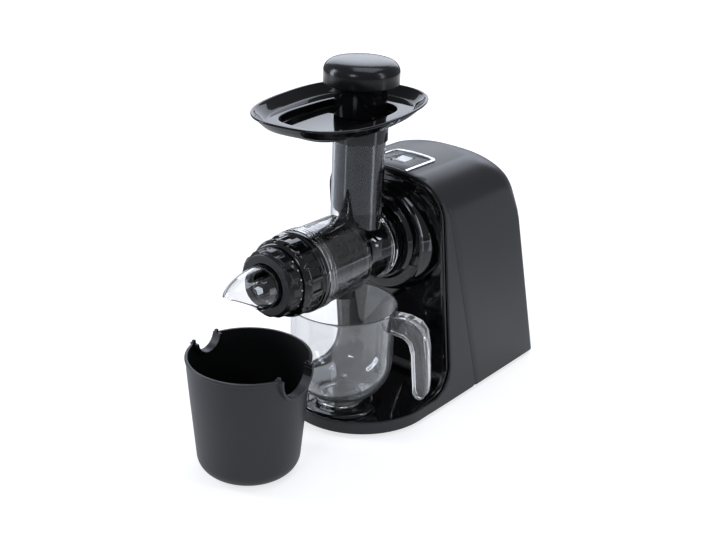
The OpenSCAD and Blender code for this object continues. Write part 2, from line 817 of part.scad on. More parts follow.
module pressure_knob() {
    color("#1a1b1e") machine() at_axis() difference() {
        turned_y([[nozzle_r + 0.3, knob_front], [29.4, knob_front], [30.4, knob_front + 1],
            [knob_r, knob_front + 3.5], [knob_r, knob_rear - 6], [knob_r - 1.5, ring_front - 0.4],
            [27, ring_front - 0.4], [27, knob_rear], [nozzle_r + 0.3, knob_rear]]);
        for (i = [0:knob_lobes - 1]) rotate([0, (i + 0.5) * 360 / knob_lobes, 0])
            translate([knob_r + 4.4, knob_front + 3, 0]) along_y() cylinder(h = 11, r = 6.6);
    }
}

// Clear hood over the pulp outlet, open underneath
module pulp_spout() {
    reach = 52;
    root = 21;
    outer = concat([for (i = [0:8]) let (k = i / 8) [root * sqrt(1 - k * k * 0.985), -k * reach]]);
    color([0.85, 0.9, 0.95, 0.4]) machine() at_axis() translate([0, knob_front, 0]) difference() {
        union() {
            turned_y(concat([[0, 6], [nozzle_r - 0.4, 6], [root, 0]],
                [for (i = [1:8]) outer[i]], [[0, -reach]]));
        }
        turned_y(concat([[0, 7], [17, 7], [17, -1], [root - 2.5, -2]],
            [for (i = [1:7]) [max(0.5, outer[i][0] - 2), outer[i][1] + 1.2]], [[0, -reach + 6]]));
        // mouth, cut along the line from the tip to the foot of the ring
        across_x(40) polygon([[-reach - 10, 12], [-reach - 10, -60], [-1.6, -60], [-1.6, -26]]);
    }
}

// ---------- tray, pusher, jug and cup ----------

tray_mid_y = -34.5;
tray_turn = 8;
ledge_z = 331.5;
floor_z = 323.5;
channel_turn = 2;
channel_mid_x = 1;
channel_mid_y = -35;
rim_wide = 3;
wall_in = 11;
// Shoulder of the pusher, which rests on the tray
shoulder_out = 25.6;

// Rounded outline of the tray or of the channel in its floor
module oval(half, len, n) {
    polygon([for (a = [0:9:351]) [half * sign(cos(a)) * pow(abs(cos(a)), 2 / n),
        len / 2 * sign(sin(a)) * pow(abs(sin(a)), 2 / n)]]);
}

module tray_slab(z, inset, thick) {
    rotate(tray_turn) translate([0, tray_mid_y, z]) linear_extrude(thick)
        oval(tray_half_w - inset, tray_len - 2 * inset, 2.6);
}

// Channel that runs from the tray's front to the mouth of the feed tube
module tray_channel(z, out, tall) {
    rotate(channel_turn) translate([channel_mid_x, channel_mid_y, z]) linear_extrude(tall)
        oval(38 + out, 124 + 2 * out, 3.4);
}

module food_tray() {
    color("#141518") machine() difference() {
        union() {
            tray_slab(tray_rim_z - 2.2, 0, 2.2);
            hull() {
                tray_slab(tray_rim_z - 2.4, 2, 1);
                tray_slab(ledge_z - 2.4, wall_in, 1);
            }
            tray_channel(floor_z - 2.5, 2.5, 9);
            translate([0, 0, 299]) cylinder(h = floor_z - 299, r = 28);
        }
        hull() {
            tray_slab(tray_rim_z + 0.1, rim_wide, 1);
            tray_slab(ledge_z, wall_in + 1.2, 1);
        }
        tray_channel(floor_z, 0, 20);
        translate([0, 0, 290]) cylinder(h = tube_top + 0.4 - 290, r = tube_r + 0.4);
        translate([0, 0, 290]) cylinder(h = 60, r = tube_r - 1.6);
    }
}

module pusher() {
    foot = 226;
    shoulder = floor_z + 0.4;
    top = cap_top - 22;
    color("#131417") machine() difference() {
        rotate_extrude() polygon([[0, foot], [20, foot], [23.5, foot + 3], [23.5, shoulder],
            [shoulder_out, shoulder], [shoulder_out, top], [0, top]]);
        translate([0, 0, foot - 1]) cylinder(h = 9, r = 17);
        for (a = [0:90:270]) rotate(a) translate([22.6, -2, foot + 10])
            cube([3, 4, shoulder - foot - 14]);
    }
}

module pusher_cap() {
    base = cap_top - 24;
    color("#2c2d31") machine() translate([0, 0, base]) difference() {
        rotate_extrude() polygon(concat([[0, 0], [cap_r - 1.5, 0], [cap_r, 1.5]],
            arc(cap_r - 11, 11.5, 11, 0, 68, 6), [[cap_r - 16, 23.2], [10, 23.9], [0, 24]]));
        translate([0, 0, -1]) cylinder(h = 3, r = shoulder_out + 0.1);
    }
}

// Hook of the jug's handle as a [radius, height] outline
hook = [[50, 110], [72, 110], [85, 106.5], [92, 98], [95.5, 80], [handle_reach, 42], [97.3, 30],
    [95, 25.5], [90.5, 23], [86, 25], [83.5, 30], [81.5, 50], [79.5, 72], [76.5, 82], [70, 88],
    [50, 91]];

// Wall line of the jug: [radius, height above the platform]
function jug_line(inset) = let (h = jug_rim_z - platform_z) concat(
    [[36 - inset, inset > 0 ? inset + 2 : 0]],
    arc(jug_r - 3.5 - 18, 22, 18 - inset, -78, 0, 6),
    [[jug_r - 1.6 - inset, h - 14], [jug_r - inset, h - 3], [jug_r + 0.3 - inset, h]]);

module juice_jug() {
    top = jug_rim_z - platform_z;
    color([0.85, 0.9, 0.95, 0.35]) machine() translate([0, jug_y, platform_z])
        rotate(handle_turn) difference() {
        union() {
            rotate_extrude() polygon(concat([[0, 0]], jug_line(0), [[0, top]]));
            // open hook handle
            rotate([90, 0, 0]) translate([0, 0, -handle_half])
                linear_extrude(2 * handle_half) polygon(hook);
        }
        rotate_extrude() polygon(concat([[0, 4.5]], jug_line(2.4), [[0, top + 2]]));
    }
}

// Notches of the cup, a wide one and a smaller one: [side, radius, rise, angle of its horns]
notches = [[3, 20.6, -3.2, 21.5], [182, 14.6, 1.5, 15.6]];

module cup_notches(out, x0, x1) {
    for (n = notches) rotate(n[0]) translate([x0, 0, cup_h + n[2]])
        rotate([0, 90, 0]) cylinder(h = x1 - x0, r = n[1] + out);
}

module cup_horns(r, z0, z1) {
    for (n = notches, side = [-1, 1]) rotate(n[0] + side * n[3])
        translate([cup_r - 2, 0, z0]) cylinder(h = z1 - z0, r = r);
}

module pulp_cup() {
    line = function (inset) concat([[33 - inset, 0]], arc(33, 17.5, 17.5 - inset, -75, -8, 5),
        [[cup_r - 5.6 - inset, 60], [cup_r - 2.9 - inset, 90], [cup_r - 0.6 - inset, cup_h]]);
    color("#46474c") machine() translate([-2, cup_y, 0]) difference() {
        union() {
            difference() {
                union() {
                    rotate_extrude() polygon(concat([[0, 0]], line(0), [[0, cup_h]]));
                    translate([0, 0, cup_h - 3]) rotate_extrude() polygon([[cup_r - 4, 0],
                        [cup_r - 0.8, 0], [cup_r, 1], [cup_r, 2.4], [cup_r - 0.8, 3], [cup_r - 4, 3]]);
                }
                translate([0, 0, 3])
                    rotate_extrude() polygon(concat([[0, 0]], line(2.6), [[0, cup_h + 1]]));
            }
            // half pipes that line the notches
            cup_notches(2.4, cup_r - 10, cup_r - 0.4);
            cup_horns(2, cup_h - 4, cup_h + 3);
        }
        cup_notches(0, cup_r - 20, cup_r + 10);
        // everything above the rim but the horns
        translate([0, 0, cup_h + 0.01]) difference() {
            translate([-100, -100, 0]) cube([200, 200, 40]);
            cup_horns(2.1, -1, 3.2);
        }
    }
}

rear_cover();
front_frame();
front_panel();
drum_socket();
base_plate();
rubber_feet();
base_screws();
switch_plate();
switch_trim();
switch_housing();
rocker_switch();
cord_gland();
control_board();
filter_capacitor();
gear_case_front();
gear_case_rear();
gear_case_screws();
motor_can();
motor_magnets();
motor_bearing();
motor_end_bell();
motor_clamp();
motor_rotor();
motor_pinion();
cooling_fan();
idler_shaft();
idler_gear();
output_bearing();
output_shaft();
output_gear();
output_coupling();
socket_seal();
auger();
auger_shaft();
auger_seal();
drum();
outlet_valve();
strainer_frame();
strainer_mesh();
nozzle();
locking_ring();
ring_gasket();
pressure_knob();
pulp_spout();
food_tray();
pusher();
pusher_cap();
juice_jug();
pulp_cup();
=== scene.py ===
from math import asin, atan, atan2, copysign, cos, degrees, hypot, pi, radians, sin, sqrt, tan

import bpy
import bmesh
from mathutils import Matrix, Vector


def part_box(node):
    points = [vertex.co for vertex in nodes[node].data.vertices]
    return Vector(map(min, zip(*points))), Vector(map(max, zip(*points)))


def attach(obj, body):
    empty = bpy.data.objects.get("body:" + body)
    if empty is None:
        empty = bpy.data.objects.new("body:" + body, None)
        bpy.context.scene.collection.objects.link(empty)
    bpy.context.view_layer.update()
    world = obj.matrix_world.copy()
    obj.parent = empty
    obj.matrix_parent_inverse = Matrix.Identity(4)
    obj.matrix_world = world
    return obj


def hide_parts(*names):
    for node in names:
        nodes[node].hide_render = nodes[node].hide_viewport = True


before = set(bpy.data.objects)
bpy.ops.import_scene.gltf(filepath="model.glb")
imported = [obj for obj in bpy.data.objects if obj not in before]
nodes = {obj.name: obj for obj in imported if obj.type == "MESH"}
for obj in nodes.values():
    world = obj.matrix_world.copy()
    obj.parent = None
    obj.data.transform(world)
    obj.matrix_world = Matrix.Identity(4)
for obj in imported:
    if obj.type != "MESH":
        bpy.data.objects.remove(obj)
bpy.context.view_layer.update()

MM = 0.001


def node_mid(node):
    """Middle of a CAD node's box, in millimetres."""
    low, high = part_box(node)
    return [(low[i] + high[i]) / 2 / MM for i in range(3)]


# Everything below is written in the machine's own millimetres, where X = 0 and Y = 0
# is the feed tube's centre line and Z = 0 is the table.
OX, OY = node_mid("pusher")[:2]

# Sizes shared with the solids
AXIS_Z = 185
BARREL = (0, 0, AXIS_Z)
HALF_W, SHOULDER_HALF, BODY_TOP, CROWN, SHOULDER_R = 79, 76, 262, 3.3, 40
TOP_HALF = SHOULDER_HALF - SHOULDER_R
BODY_REAR = 251
SHOULDER_Z = BODY_TOP - CROWN - SHOULDER_R
BASE_Z, RIM_Z, DECK_Z, PLATFORM_Z = 5, 18, 14, 19
LIP_Y0, LIP_SLOPE = 79, 0.14
FACE_Y0, FACE_SLOPE = 96.5, 0.207
SEAM_Y0, SEAM_SLOPE = 127.6, 0.324
REAR_SLOPE, REAR_R = 1 / 3.3, 45
REAR_LEAN = atan(REAR_SLOPE)
CORNER_T = REAR_R * tan((pi / 2 - REAR_LEAN) / 2)
REAR_Y0 = BODY_REAR + REAR_SLOPE * 10
CORNER_Y = REAR_Y0 - REAR_SLOPE * BODY_TOP - CORNER_T
CORNER_Z = BODY_TOP - REAR_R
CORNER_END_Z = BODY_TOP - CORNER_T * cos(REAR_LEAN)
CHEEK_TOP = 238
WALL = 2.8
# The front edge of the cheeks runs into the deck's rim in a sweep that starts at SWEEP_TOP
SWEEP_Y, SWEEP_R, SWEEP_TOP, SWEEP_START = 46, 26, 40.4, -8
DECK_HALF, DECK_MID, DECK_DEPTH = HALF_W - 0.3, 20, 82
JUG_Y, CUP_X, CUP_Y = -16, -2, -153
HANDLE_TURN = 14
BOSS_FRONT = 37.5
JUG_R, JUG_RIM, CUP_H = 55.5, 129, 120
# Angles of the painted glints round the pressure knob: white dots that stand in for specular
# highlights
GLINT_ANGLES = (51.4, 34.7, 18.5, 0.3, -15, -31)


# ------------------------------ shader helpers

def add_node(tree, kind, inputs=None, **settings):
    """Adds a node. Each input gets a number or colour, or is linked to a socket."""
    node = tree.nodes.new(kind)
    for key, value in settings.items():
        setattr(node, key, value)
    for key, value in (inputs or {}).items():
        if isinstance(value, bpy.types.NodeSocket):
            tree.links.new(value, node.inputs[key])
        else:
            node.inputs[key].default_value = value
    return node


class Shader:
    """Small builder for the nodes of one material or world."""

    def __init__(self, owner, output="OutputMaterial"):
        owner.use_nodes = True
        self.owner = owner
        self.tree = owner.node_tree
        self.tree.nodes.clear()
        self.out = self.add(output).inputs["Surface"]

    def add(self, kind, inputs=None, **settings):
        return add_node(self.tree, "ShaderNode" + kind, inputs, **settings)

    def finish(self, kind, inputs):
        """Adds the shader that the surface shows, and returns the material or world."""
        self.tree.links.new(self.add(kind, inputs).outputs[0], self.out)
        return self.owner

    def coords(self):
        return self.add("TexCoord").outputs["Object"]

    def noise(self, scale, detail=4, rough=0.5, stretch=None):
        place = self.coords()
        if stretch:
            place = self.add("Mapping", {"Vector": place, "Scale": stretch}).outputs[0]
        inputs = {"Vector": place, "Scale": scale, "Detail": detail, "Roughness": rough}
        return self.add("TexNoise", inputs).outputs["Fac"]

    def ramp(self, fac, dark, light):
        node = self.add("ValToRGB", {0: fac})
        for stop, place, colour in zip(node.color_ramp.elements, (0.3, 0.7), (dark, light)):
            stop.position = place
            stop.color = (*colour, 1)
        return node.outputs[0]

    def span(self, fac, low, high, start=0, end=1):
        """Turns the range from start to end into the range from low to high."""
        inputs = {"Value": fac, "From Min": start, "From Max": end, "To Min": low, "To Max": high}
        return self.add("MapRange", inputs).outputs[0]

    def bump(self, fac, strength, distance):
        inputs = {"Height": fac, "Strength": strength, "Distance": distance}
        return self.add("Bump", inputs).outputs[0]

    def maths(self, operation, a, b):
        return self.add("Math", {0: a, 1: b}, operation=operation).outputs[0]

    def looked_at(self, path):
        """1 for what the camera sees directly or through a clear wall, 0 for the rest."""
        unmirrored = self.maths("LESS_THAN", path["Glossy Depth"], 0.5)
        through = self.maths("MULTIPLY", path["Is Transmission Ray"], unmirrored)
        return self.maths("MAXIMUM", path["Is Camera Ray"], through)


MAT = {}


def new_material(name):
    return Shader(bpy.data.materials.new(name))


def plastic(name, dark, light, rough, grain=2600, bump=0.12, coat=0, specular=0.5, mottle=6):
    """Moulded plastic: slight colour drift, uneven polish and a fine grain."""
    s = new_material(name)
    inputs = {"Base Color": s.ramp(s.noise(mottle, 3), dark, light),
              "Roughness": s.span(s.noise(mottle * 3.3, 5, 0.6), *rough),
              "Specular IOR Level": specular, "Coat Weight": coat, "Coat Roughness": 0.03}
    if bump:
        inputs["Normal"] = s.bump(s.noise(grain, 2), bump, 0.00004)
    MAT[name] = s.finish("BsdfPrincipled", inputs)


def metal(name, dark, light, rough, stretch=(1, 60, 60), scale=60, bump=0.05):
    """Turned or brushed metal with grain along the stretch."""
    s = new_material(name)
    grain = s.noise(scale, 4, 0.6, stretch)
    MAT[name] = s.finish("BsdfPrincipled", {
        "Base Color": s.ramp(grain, dark, light), "Roughness": s.span(grain, *rough),
        "Normal": s.bump(grain, bump, 0.00005), "Metallic": 1.0})


def clear(name, tint, ior=1.5, wave=0.02, through=1):
    """Clear moulded plastic with the slight waviness of a moulded wall."""
    s = new_material(name)
    light = tuple(min(1, c * 1.02) for c in tint)
    MAT[name] = s.finish("BsdfPrincipled", {
        "Base Color": s.ramp(s.noise(4, 2), tint, light),
        "Roughness": s.span(s.noise(90, 3), 0.0075, 0.03),
        "Normal": s.bump(s.noise(26, 2), wave, 0.0006),
        "Transmission Weight": through, "IOR": ior})


# Dark and light shade of the gloss black, and the stretch of a grain without direction
GLOSS = ((0.003, 0.003, 0.0036), (0.0042, 0.0042, 0.005))
EVEN = (1, 1, 1)

plastic("matt_cover", (0.0125, 0.0128, 0.015), (0.0155, 0.0158, 0.018), (0.34, 0.42), 2400, 0.16)
plastic("matt_frame", (0.0165, 0.0168, 0.0195), (0.02, 0.0203, 0.023), (0.4, 0.48), 2400, 0.16)
plastic("gloss_black", *GLOSS, (0.035, 0.075), bump=0, coat=0.35)
plastic("tray_black", *GLOSS, (0.03, 0.065), bump=0, specular=0.26)
plastic("satin_black", (0.004, 0.004, 0.0047), (0.0055, 0.0055, 0.0064), (0.1, 0.15), bump=0)
plastic("knob_black", (0.006, 0.006, 0.007), (0.008, 0.008, 0.0092), (0.22, 0.3), 1800, 0.1)
plastic("knob_face_grey", (0.02, 0.02, 0.023), (0.025, 0.025, 0.028), (0.4, 0.48), 2400, 0.14)
plastic("cap_black", (0.008, 0.008, 0.0095), (0.0105, 0.0105, 0.012), (0.18, 0.24), 2600, 0.03,
        specular=0.32)
plastic("plate_grey", (0.026, 0.027, 0.03), (0.034, 0.035, 0.038), (0.3, 0.38), 1800, 0.1,
        specular=0.34)
plastic("cup_grey", (0.021, 0.021, 0.024), (0.025, 0.025, 0.0285), (0.38, 0.46), 2200, 0.16)
# Near-black for the cup's inner wall and floor: painted shade inside the cup, which is one moulding
# with its grey outside
plastic("cup_inside_painted_shade", (0.001, 0.001, 0.0012), (0.0016, 0.0016, 0.0018), (0.55, 0.7),
        1500, 0.1, specular=0.2)
plastic("foot_rubber", (0.01, 0.01, 0.01), (0.014, 0.014, 0.014), (0.65, 0.8), 1400, 0.25)
plastic("rocker_white", (0.74, 0.75, 0.76), (0.8, 0.81, 0.82), (0.18, 0.26), 1200, 0.04)
# White of the printed switch dashes, also used for the knob's painted glints
plastic("print_and_glint_white", (0.8, 0.8, 0.8), (0.86, 0.86, 0.86), (0.4, 0.5), 900, 0.05)
plastic("seal_black", (0.0045, 0.0045, 0.005), (0.007, 0.007, 0.0078), (0.45, 0.58), 900, 0.12)
plastic("board_green", (0.01, 0.07, 0.028), (0.016, 0.1, 0.04), (0.3, 0.42), 400, 0.1,
        mottle=40)
plastic("film_yellow", (0.42, 0.26, 0.03), (0.5, 0.32, 0.05), (0.3, 0.4))
plastic("nylon_cream", (0.62, 0.58, 0.48), (0.7, 0.66, 0.56), (0.34, 0.48), 1500, 0.08)
plastic("auger_black", (0.0035, 0.0035, 0.0042), (0.005, 0.005, 0.006), (0.06, 0.11), 400,
        0.03, coat=0.3)
metal("strainer_sheet", (0.02, 0.021, 0.023), (0.035, 0.036, 0.039), (0.3, 0.45))
metal("satin_trim", (0.86, 0.87, 0.88), (0.93, 0.94, 0.95), (0.24, 0.34))
metal("ground_steel", (0.5, 0.51, 0.52), (0.64, 0.65, 0.66), (0.2, 0.34))
metal("die_cast", (0.3, 0.31, 0.32), (0.4, 0.41, 0.42), (0.42, 0.58), EVEN, 260, 0.2)
metal("zinc_plate", (0.4, 0.41, 0.43), (0.55, 0.56, 0.58), (0.28, 0.4), EVEN, 120, 0.06)
metal("wound_copper", (0.42, 0.16, 0.06), (0.62, 0.27, 0.12), (0.3, 0.45), (1, 90, 1), 90,
      0.3)
metal("cut_brass", (0.6, 0.44, 0.16), (0.75, 0.58, 0.26), (0.2, 0.32))
clear("clear_drum", (0.93, 0.94, 0.95), wave=0.006)
clear("clear_hood", (0.97, 0.975, 0.98))
clear("clear_jug", (0.95, 0.96, 0.965), ior=1.56, wave=0.03, through=0.95)


# ------------------------------ mesh helpers

def new_object(name, data):
    obj = bpy.data.objects.new(name, data)
    bpy.context.scene.collection.objects.link(obj)
    return obj


def new_mesh(name, part, weld=0):
    """Mesh from machine millimetres. Points closer than weld, in metres, become one."""
    verts, faces = part
    mesh = bpy.data.meshes.new(name)
    mesh.from_pydata([((x + OX) * MM, (y + OY) * MM, z * MM) for x, y, z in verts], [], faces)
    bm = bmesh.new()
    bm.from_mesh(mesh)
    if weld:
        bmesh.ops.remove_doubles(bm, verts=bm.verts, dist=weld)
    bmesh.ops.recalc_face_normals(bm, faces=bm.faces)
    bm.to_mesh(mesh)
    bm.free()
    return mesh


def sharpen(obj, angle=30):
    """Shades an object smooth except at edges steeper than the angle."""
    obj.data.shade_smooth()
    obj.data.set_sharp_from_angle(angle=radians(angle))


def piece(name, part, mats, body, replaced=(), angle=30, weld=1e-6):
    """Makes one object of the given materials that rides on a body."""
    obj = new_object(name, new_mesh(name, part, weld))
    sharpen(obj, angle)
    for mat in mats:
        obj.data.materials.append(MAT[mat])
    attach(obj, body)
    if replaced:
        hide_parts(*replaced)
    return obj


def carve(obj, part, operation="DIFFERENCE"):
    """Cuts a shape out of an object once, or adds one, and leaves plain mesh behind."""
    tool = new_object("tool", new_mesh("tool", part, 1e-7))
    cut = obj.modifiers.new("cut", "BOOLEAN")
    cut.operation = operation
    cut.solver = "EXACT"
    cut.object = tool
    bpy.context.view_layer.update()
    seen = obj.evaluated_get(bpy.context.evaluated_depsgraph_get())
    done = bpy.data.meshes.new_from_object(seen)
    obj.modifiers.remove(cut)
    unused = (obj.data, tool.data)
    obj.data = done
    bpy.data.objects.remove(tool)
    for mesh in unused:
        bpy.data.meshes.remove(mesh)


def rounded(points, steps=4):
    """Outline from (u, v, radius) points, with each corner rounded to its radius."""
    out = []
    count = len(points)
    for i, point in enumerate(points):
        r = point[2]
        a, b, c = (Vector(points[(i + k) % count][:2]) for k in (-1, 0, 1))
        u, v = a - b, c - b
        turn = u.angle(v) if min(u.length, v.length) > 1e-6 else 0
        if r <= 0 or not radians(2) <= turn <= radians(178):
            out.append((b.x, b.y))
            continue
        cut = min(r / tan(turn / 2), 0.48 * u.length, 0.48 * v.length)
        r = cut * tan(turn / 2)
        u.normalize()
        v.normalize()
        mid = b + (u + v).normalized() * (r / sin(turn / 2))
        start, end = b + u * cut - mid, b + v * cut - mid
        a0 = atan2(start.y, start.x)
        sweep = (atan2(end.y, end.x) - a0 + pi) % (2 * pi) - pi
        for k in range(steps + 1):
            t = a0 + sweep * k / steps
            out.append((mid.x + r * cos(t), mid.y + r * sin(t)))
    return out


def polar(r, a, mid=(0, 0)):
    """Point at radius r and at a degrees about a middle."""
    return mid[0] + r * cos(radians(a)), mid[1] + r * sin(radians(a))


def arc(u, v, r, a0, a1, n):
    return [polar(r, a, (u, v)) for a in spread(a0, a1, n)]


def spread(a, b, n):
    return [a + (b - a) * i / n for i in range(n + 1)]


def lerp(a, b, t):
    return tuple(p + (q - p) * t for p, q in zip(a, b))


def step(x, a, b):
    """Smooth step from 0 at a to 1 at b."""
    t = max(0, min(1, (x - a) / (b - a)))
    return t * t * (3 - 2 * t)


def subdivide(outline, length):
    """Outline with its long straight runs split, so that it can follow a curve."""
    out = []
    for i, p in enumerate(outline):
        q = outline[(i + 1) % len(outline)]
        n = max(1, int(hypot(q[0] - p[0], q[1] - p[1]) / length))
        out += [lerp(p, q, k / n) for k in range(n)]
    return out


def offset(outline, left):
    """Closed outline with its points moved to the left of the way that it runs."""
    out = []
    for i, p in enumerate(outline):
        run = Vector(outline[(i + 1) % len(outline)]) - Vector(outline[i - 1])
        run.normalize()
        out.append(tuple(Vector(p) + Vector((-run.y, run.x)) * left))
    return out


def grid(rows, close_u=False, close_v=False):
    """Skins rows of points with quads."""
    verts = [p for row in rows for p in row]
    m, n = len(rows), len(rows[0])
    faces = []
    for k in range(m if close_v else m - 1):
        for i in range(n if close_u else n - 1):
            a, b = k * n + i, k * n + (i + 1) % n
            c, d = ((k + 1) % m) * n + (i + 1) % n, ((k + 1) % m) * n + i
            faces.append((a, b, c, d))
    return verts, faces


def hoop(rows):
    """Skin through closed rows that themselves run round in a ring."""
    return grid(rows, close_u=True, close_v=True)


def tube(rows):
    """Closed skin through rows that are closed loops, with both ends filled."""
    verts, faces = grid(rows, close_u=True)
    n = len(rows[0])
    faces.append(tuple(range(n)))
    faces.append(tuple(range(len(verts) - 1, len(verts) - n - 1, -1)))
    return verts, faces


def spoke(profile, a, along="z", mid=(0, 0, 0)):
    """Points of a (radius, height) outline at an angle, in radians, about an axis."""
    x, y, z = mid
    if along == "z":
        return [(x + r * cos(a), y + r * sin(a), z + h) for r, h in profile]
    return [(x + r * cos(a), y + h, z - r * sin(a)) for r, h in profile]


def lathe(profile, along="z", mid=(0, 0, 0), segs=144):
    """Turns a closed outline of (radius, height) points about an axis."""
    return hoop([spoke(profile, 2 * pi * i / segs, along, mid) for i in range(segs)])


def barrel(profile, segs=176):
    """Turns an outline about the drum's centre line."""
    return lathe(profile, "y", BARREL, segs)


def prism(outline, low, high, along="z"):
    """Extrudes an outline: (x, y) points along z, (y, z) along x, or (x, z) along y."""
    order = {"x": (2, 0, 1), "y": (0, 2, 1), "z": (0, 1, 2)}[along]
    verts = [tuple((u, v, h)[k] for k in order) for h in (low, high) for u, v in outline]
    n = len(outline)
    faces = [tuple(range(n - 1, -1, -1)), tuple(range(n, 2 * n))]
    faces += [(i, (i + 1) % n, n + (i + 1) % n, n + i) for i in range(n)]
    return verts, faces


def box_part(lo, hi):
    return prism([(lo[0], lo[1]), (hi[0], lo[1]), (hi[0], hi[1]), (lo[0], hi[1])], lo[2], hi[2])


def join(*parts):
    verts, faces = [], []
    for v, f in parts:
        base = len(verts)
        verts += v
        faces += [tuple(i + base for i in face) for face in f]
    return verts, faces


def placed(part, at, turn, axis="Z"):
    """Part turned by degrees about an axis through the origin and then moved."""
    matrix = Matrix.Translation(at) @ Matrix.Rotation(radians(turn), 4, axis)
    verts, faces = part
    return [tuple(matrix @ Vector(p)) for p in verts], faces


def smooth_group(angle):
    """Node group that shades smooth across edges flatter than the angle."""
    tree = bpy.data.node_groups.new("even_shading", "GeometryNodeTree")
    for way in ("INPUT", "OUTPUT"):
        tree.interface.new_socket("Geometry", in_out=way, socket_type="NodeSocketGeometry")
    start = add_node(tree, "NodeGroupInput")
    merged = add_node(tree, "GeometryNodeMergeByDistance",
                      {0: start.outputs[0], "Distance": 1e-6})
    smooth = add_node(tree, "GeometryNodeSetShadeSmooth",
                      {0: merged.outputs[0], "Shade Smooth": True}, domain="FACE")
    edge = add_node(tree, "GeometryNodeInputMeshEdgeAngle")
    steep = add_node(tree, "FunctionNodeCompare", {0: edge.outputs[0], 1: radians(angle)},
                     data_type="FLOAT", operation="GREATER_THAN")
    sharp = add_node(tree, "GeometryNodeSetShadeSmooth",
                     {0: smooth.outputs[0], "Selection": steep.outputs[0], "Shade Smooth": False},
                     domain="EDGE")
    add_node(tree, "NodeGroupOutput", {0: sharp.outputs[0]})
    return tree


SMOOTH = smooth_group(28)


def dress(node, mat, bevel):
    """Gives a carried-over CAD node its material, even shading and rounded edges."""
    obj = nodes[node]
    if not obj.material_slots:
        obj.data.materials.append(mat)
    for slot in obj.material_slots:
        slot.material = mat
    obj.modifiers.new("shading", "NODES").node_group = SMOOTH
    if bevel:
        edges = obj.modifiers.new("edges", "BEVEL")
        edges.width = bevel * MM
        edges.segments = 2
        edges.limit_method = "ANGLE"
        edges.angle_limit = radians(40)
        edges.harden_normals = False
        edges.miter_outer = "MITER_ARC"


# ------------------------------ housing

def side_half(z):
    """Half width of the housing at height z."""
    if z <= SHOULDER_Z:
        return HALF_W - (HALF_W - SHOULDER_HALF) * z / SHOULDER_Z
    if z <= SHOULDER_Z + SHOULDER_R:
        return TOP_HALF + sqrt(max(0, SHOULDER_R ** 2 - (z - SHOULDER_Z) ** 2))
    return TOP_HALF * sqrt(max(0, (BODY_TOP - z) / CROWN))


def crown_z(x):
    return BODY_TOP - CROWN * (x / TOP_HALF) ** 2


def rear_at(z):
    if z <= CORNER_END_Z:
        return REAR_Y0 - REAR_SLOPE * z
    return CORNER_Y + sqrt(max(0, REAR_R ** 2 - (z - CORNER_Z) ** 2))


def lip_y(z):
    return LIP_Y0 - LIP_SLOPE * z


def seam_y(z):
    return SEAM_Y0 - SEAM_SLOPE * z


def face_y(z):
    return FACE_Y0 - FACE_SLOPE * z


def cover_levels():
    """Heights of the cover's level sections with their half widths."""
    out = [(z, side_half(z)) for z in spread(BASE_Z, SHOULDER_Z, 18)]
    for a in sorted(list(range(4, 90, 4)) + [28.5]):
        x, z = polar(SHOULDER_R, a, (TOP_HALF, SHOULDER_Z))
        out.append((z, x))
    for t in spread(1, 0, 12):
        out.append((BODY_TOP - CROWN * t * t, TOP_HALF * t))
    return out


def cover_half(w, z, y0, inset):
    """Level section on the +X side, from the front edge to the middle of the rear."""
    x1 = max(w - inset, 0)
    y1 = rear_at(z) - inset
    r = min(x1 * 0.8, 11 + 22 * max(0, min(1, (z - 190) / 60)))
    pts = [(x1, y) for y in spread(y0, y1 - r, 12)]
    pts += arc(x1 - r, y1 - r, r, 0, 90, 12)[1:]
    pts += [(x, y1) for x in spread(x1 - r, 0, 4)[1:]]
    return pts


def cover_row(z, w):
    """Closed level section of the cover's wall, with its rounded front rim."""
    def mirror(pts):
        return [(-x, y, level) for x, y, level in pts]

    outer_gap, inner_gap = 0.8, 0.3
    low = z - (WALL if z > SHOULDER_Z else 0)
    front = seam_y if z < CHEEK_TOP - 0.3 else lip_y
    outer = [(x, y, z) for x, y in cover_half(w, z, front(z) + outer_gap, 0)]
    inner = [(x, y, low) for x, y in cover_half(w, z, front(low) + inner_gap, WALL)]
    rim = []
    for f, dy in [(0.085, 0.235), (outer_gap / WALL, 0), (1 - inner_gap / WALL, 0)]:
        x, level = lerp((outer[0][0], z), (inner[0][0], low), f)
        rim.append((x, front(level) + dy, level))
    return (outer + mirror(outer[:-1])[::-1] + mirror(rim)
            + mirror(inner) + inner[:-1][::-1] + rim[::-1])


def rear_cover():
    """Leaning shell with vents, the switch's opening and the cord's hole."""
    obj = piece("rear_cover_shell", tube([cover_row(z, w) for z, w in cover_levels()]),
                ["matt_cover"], "machine", ["rear_cover"])
    cuts = [box_part((i * 6 - 2, 200, 30), (i * 6 + 0.5, 262, 64)) for i in range(9)]
    cuts.append(box_part((-24, 46, BODY_TOP - 12), (24, 94, BODY_TOP + 8)))
    cord_hole = lathe([(0, -12), (7, -12), (7, 18), (0, 18)], "y", segs=48)
    cuts.append(placed(cord_hole, (-42, rear_at(32), 32), degrees(REAR_LEAN), "X"))
    carve(obj, join(*cuts))
    sharpen(obj)


SWEEP_MID = (SWEEP_Y, RIM_Z + SWEEP_R)


def deck_point(inset, a):
    """Point of the D-shaped base outline at a degrees, from 0 on the +X side to -180."""
    return ((DECK_HALF - inset) * cos(radians(a)),
            DECK_MID + (DECK_DEPTH - inset) * sin(radians(a)))


def wall_row(edge, seam, outward, follow=lambda p: p, steps=12, tip=0.9):
    """Closed section of a wall, from its rounded front edge to its seam and back inside."""
    e, b, n = Vector(edge), Vector(seam), Vector(outward)
    along = b - e
    length = along.length
    along.normalize()
    outer = [follow(e + along * y) for y in spread(tip, length - 0.4, steps)]
    back = [follow(b) - n * 0.4, follow(b) - n * (WALL - 0.3)]
    inner = [p - n * WALL for p in reversed(outer)]
    front = [follow(e) - n * (WALL - 0.6), follow(e) - n * tip,
             follow(e + along * tip * 0.3) - n * tip * 0.3]
    return [tuple(p) for p in outer + back + inner + front]


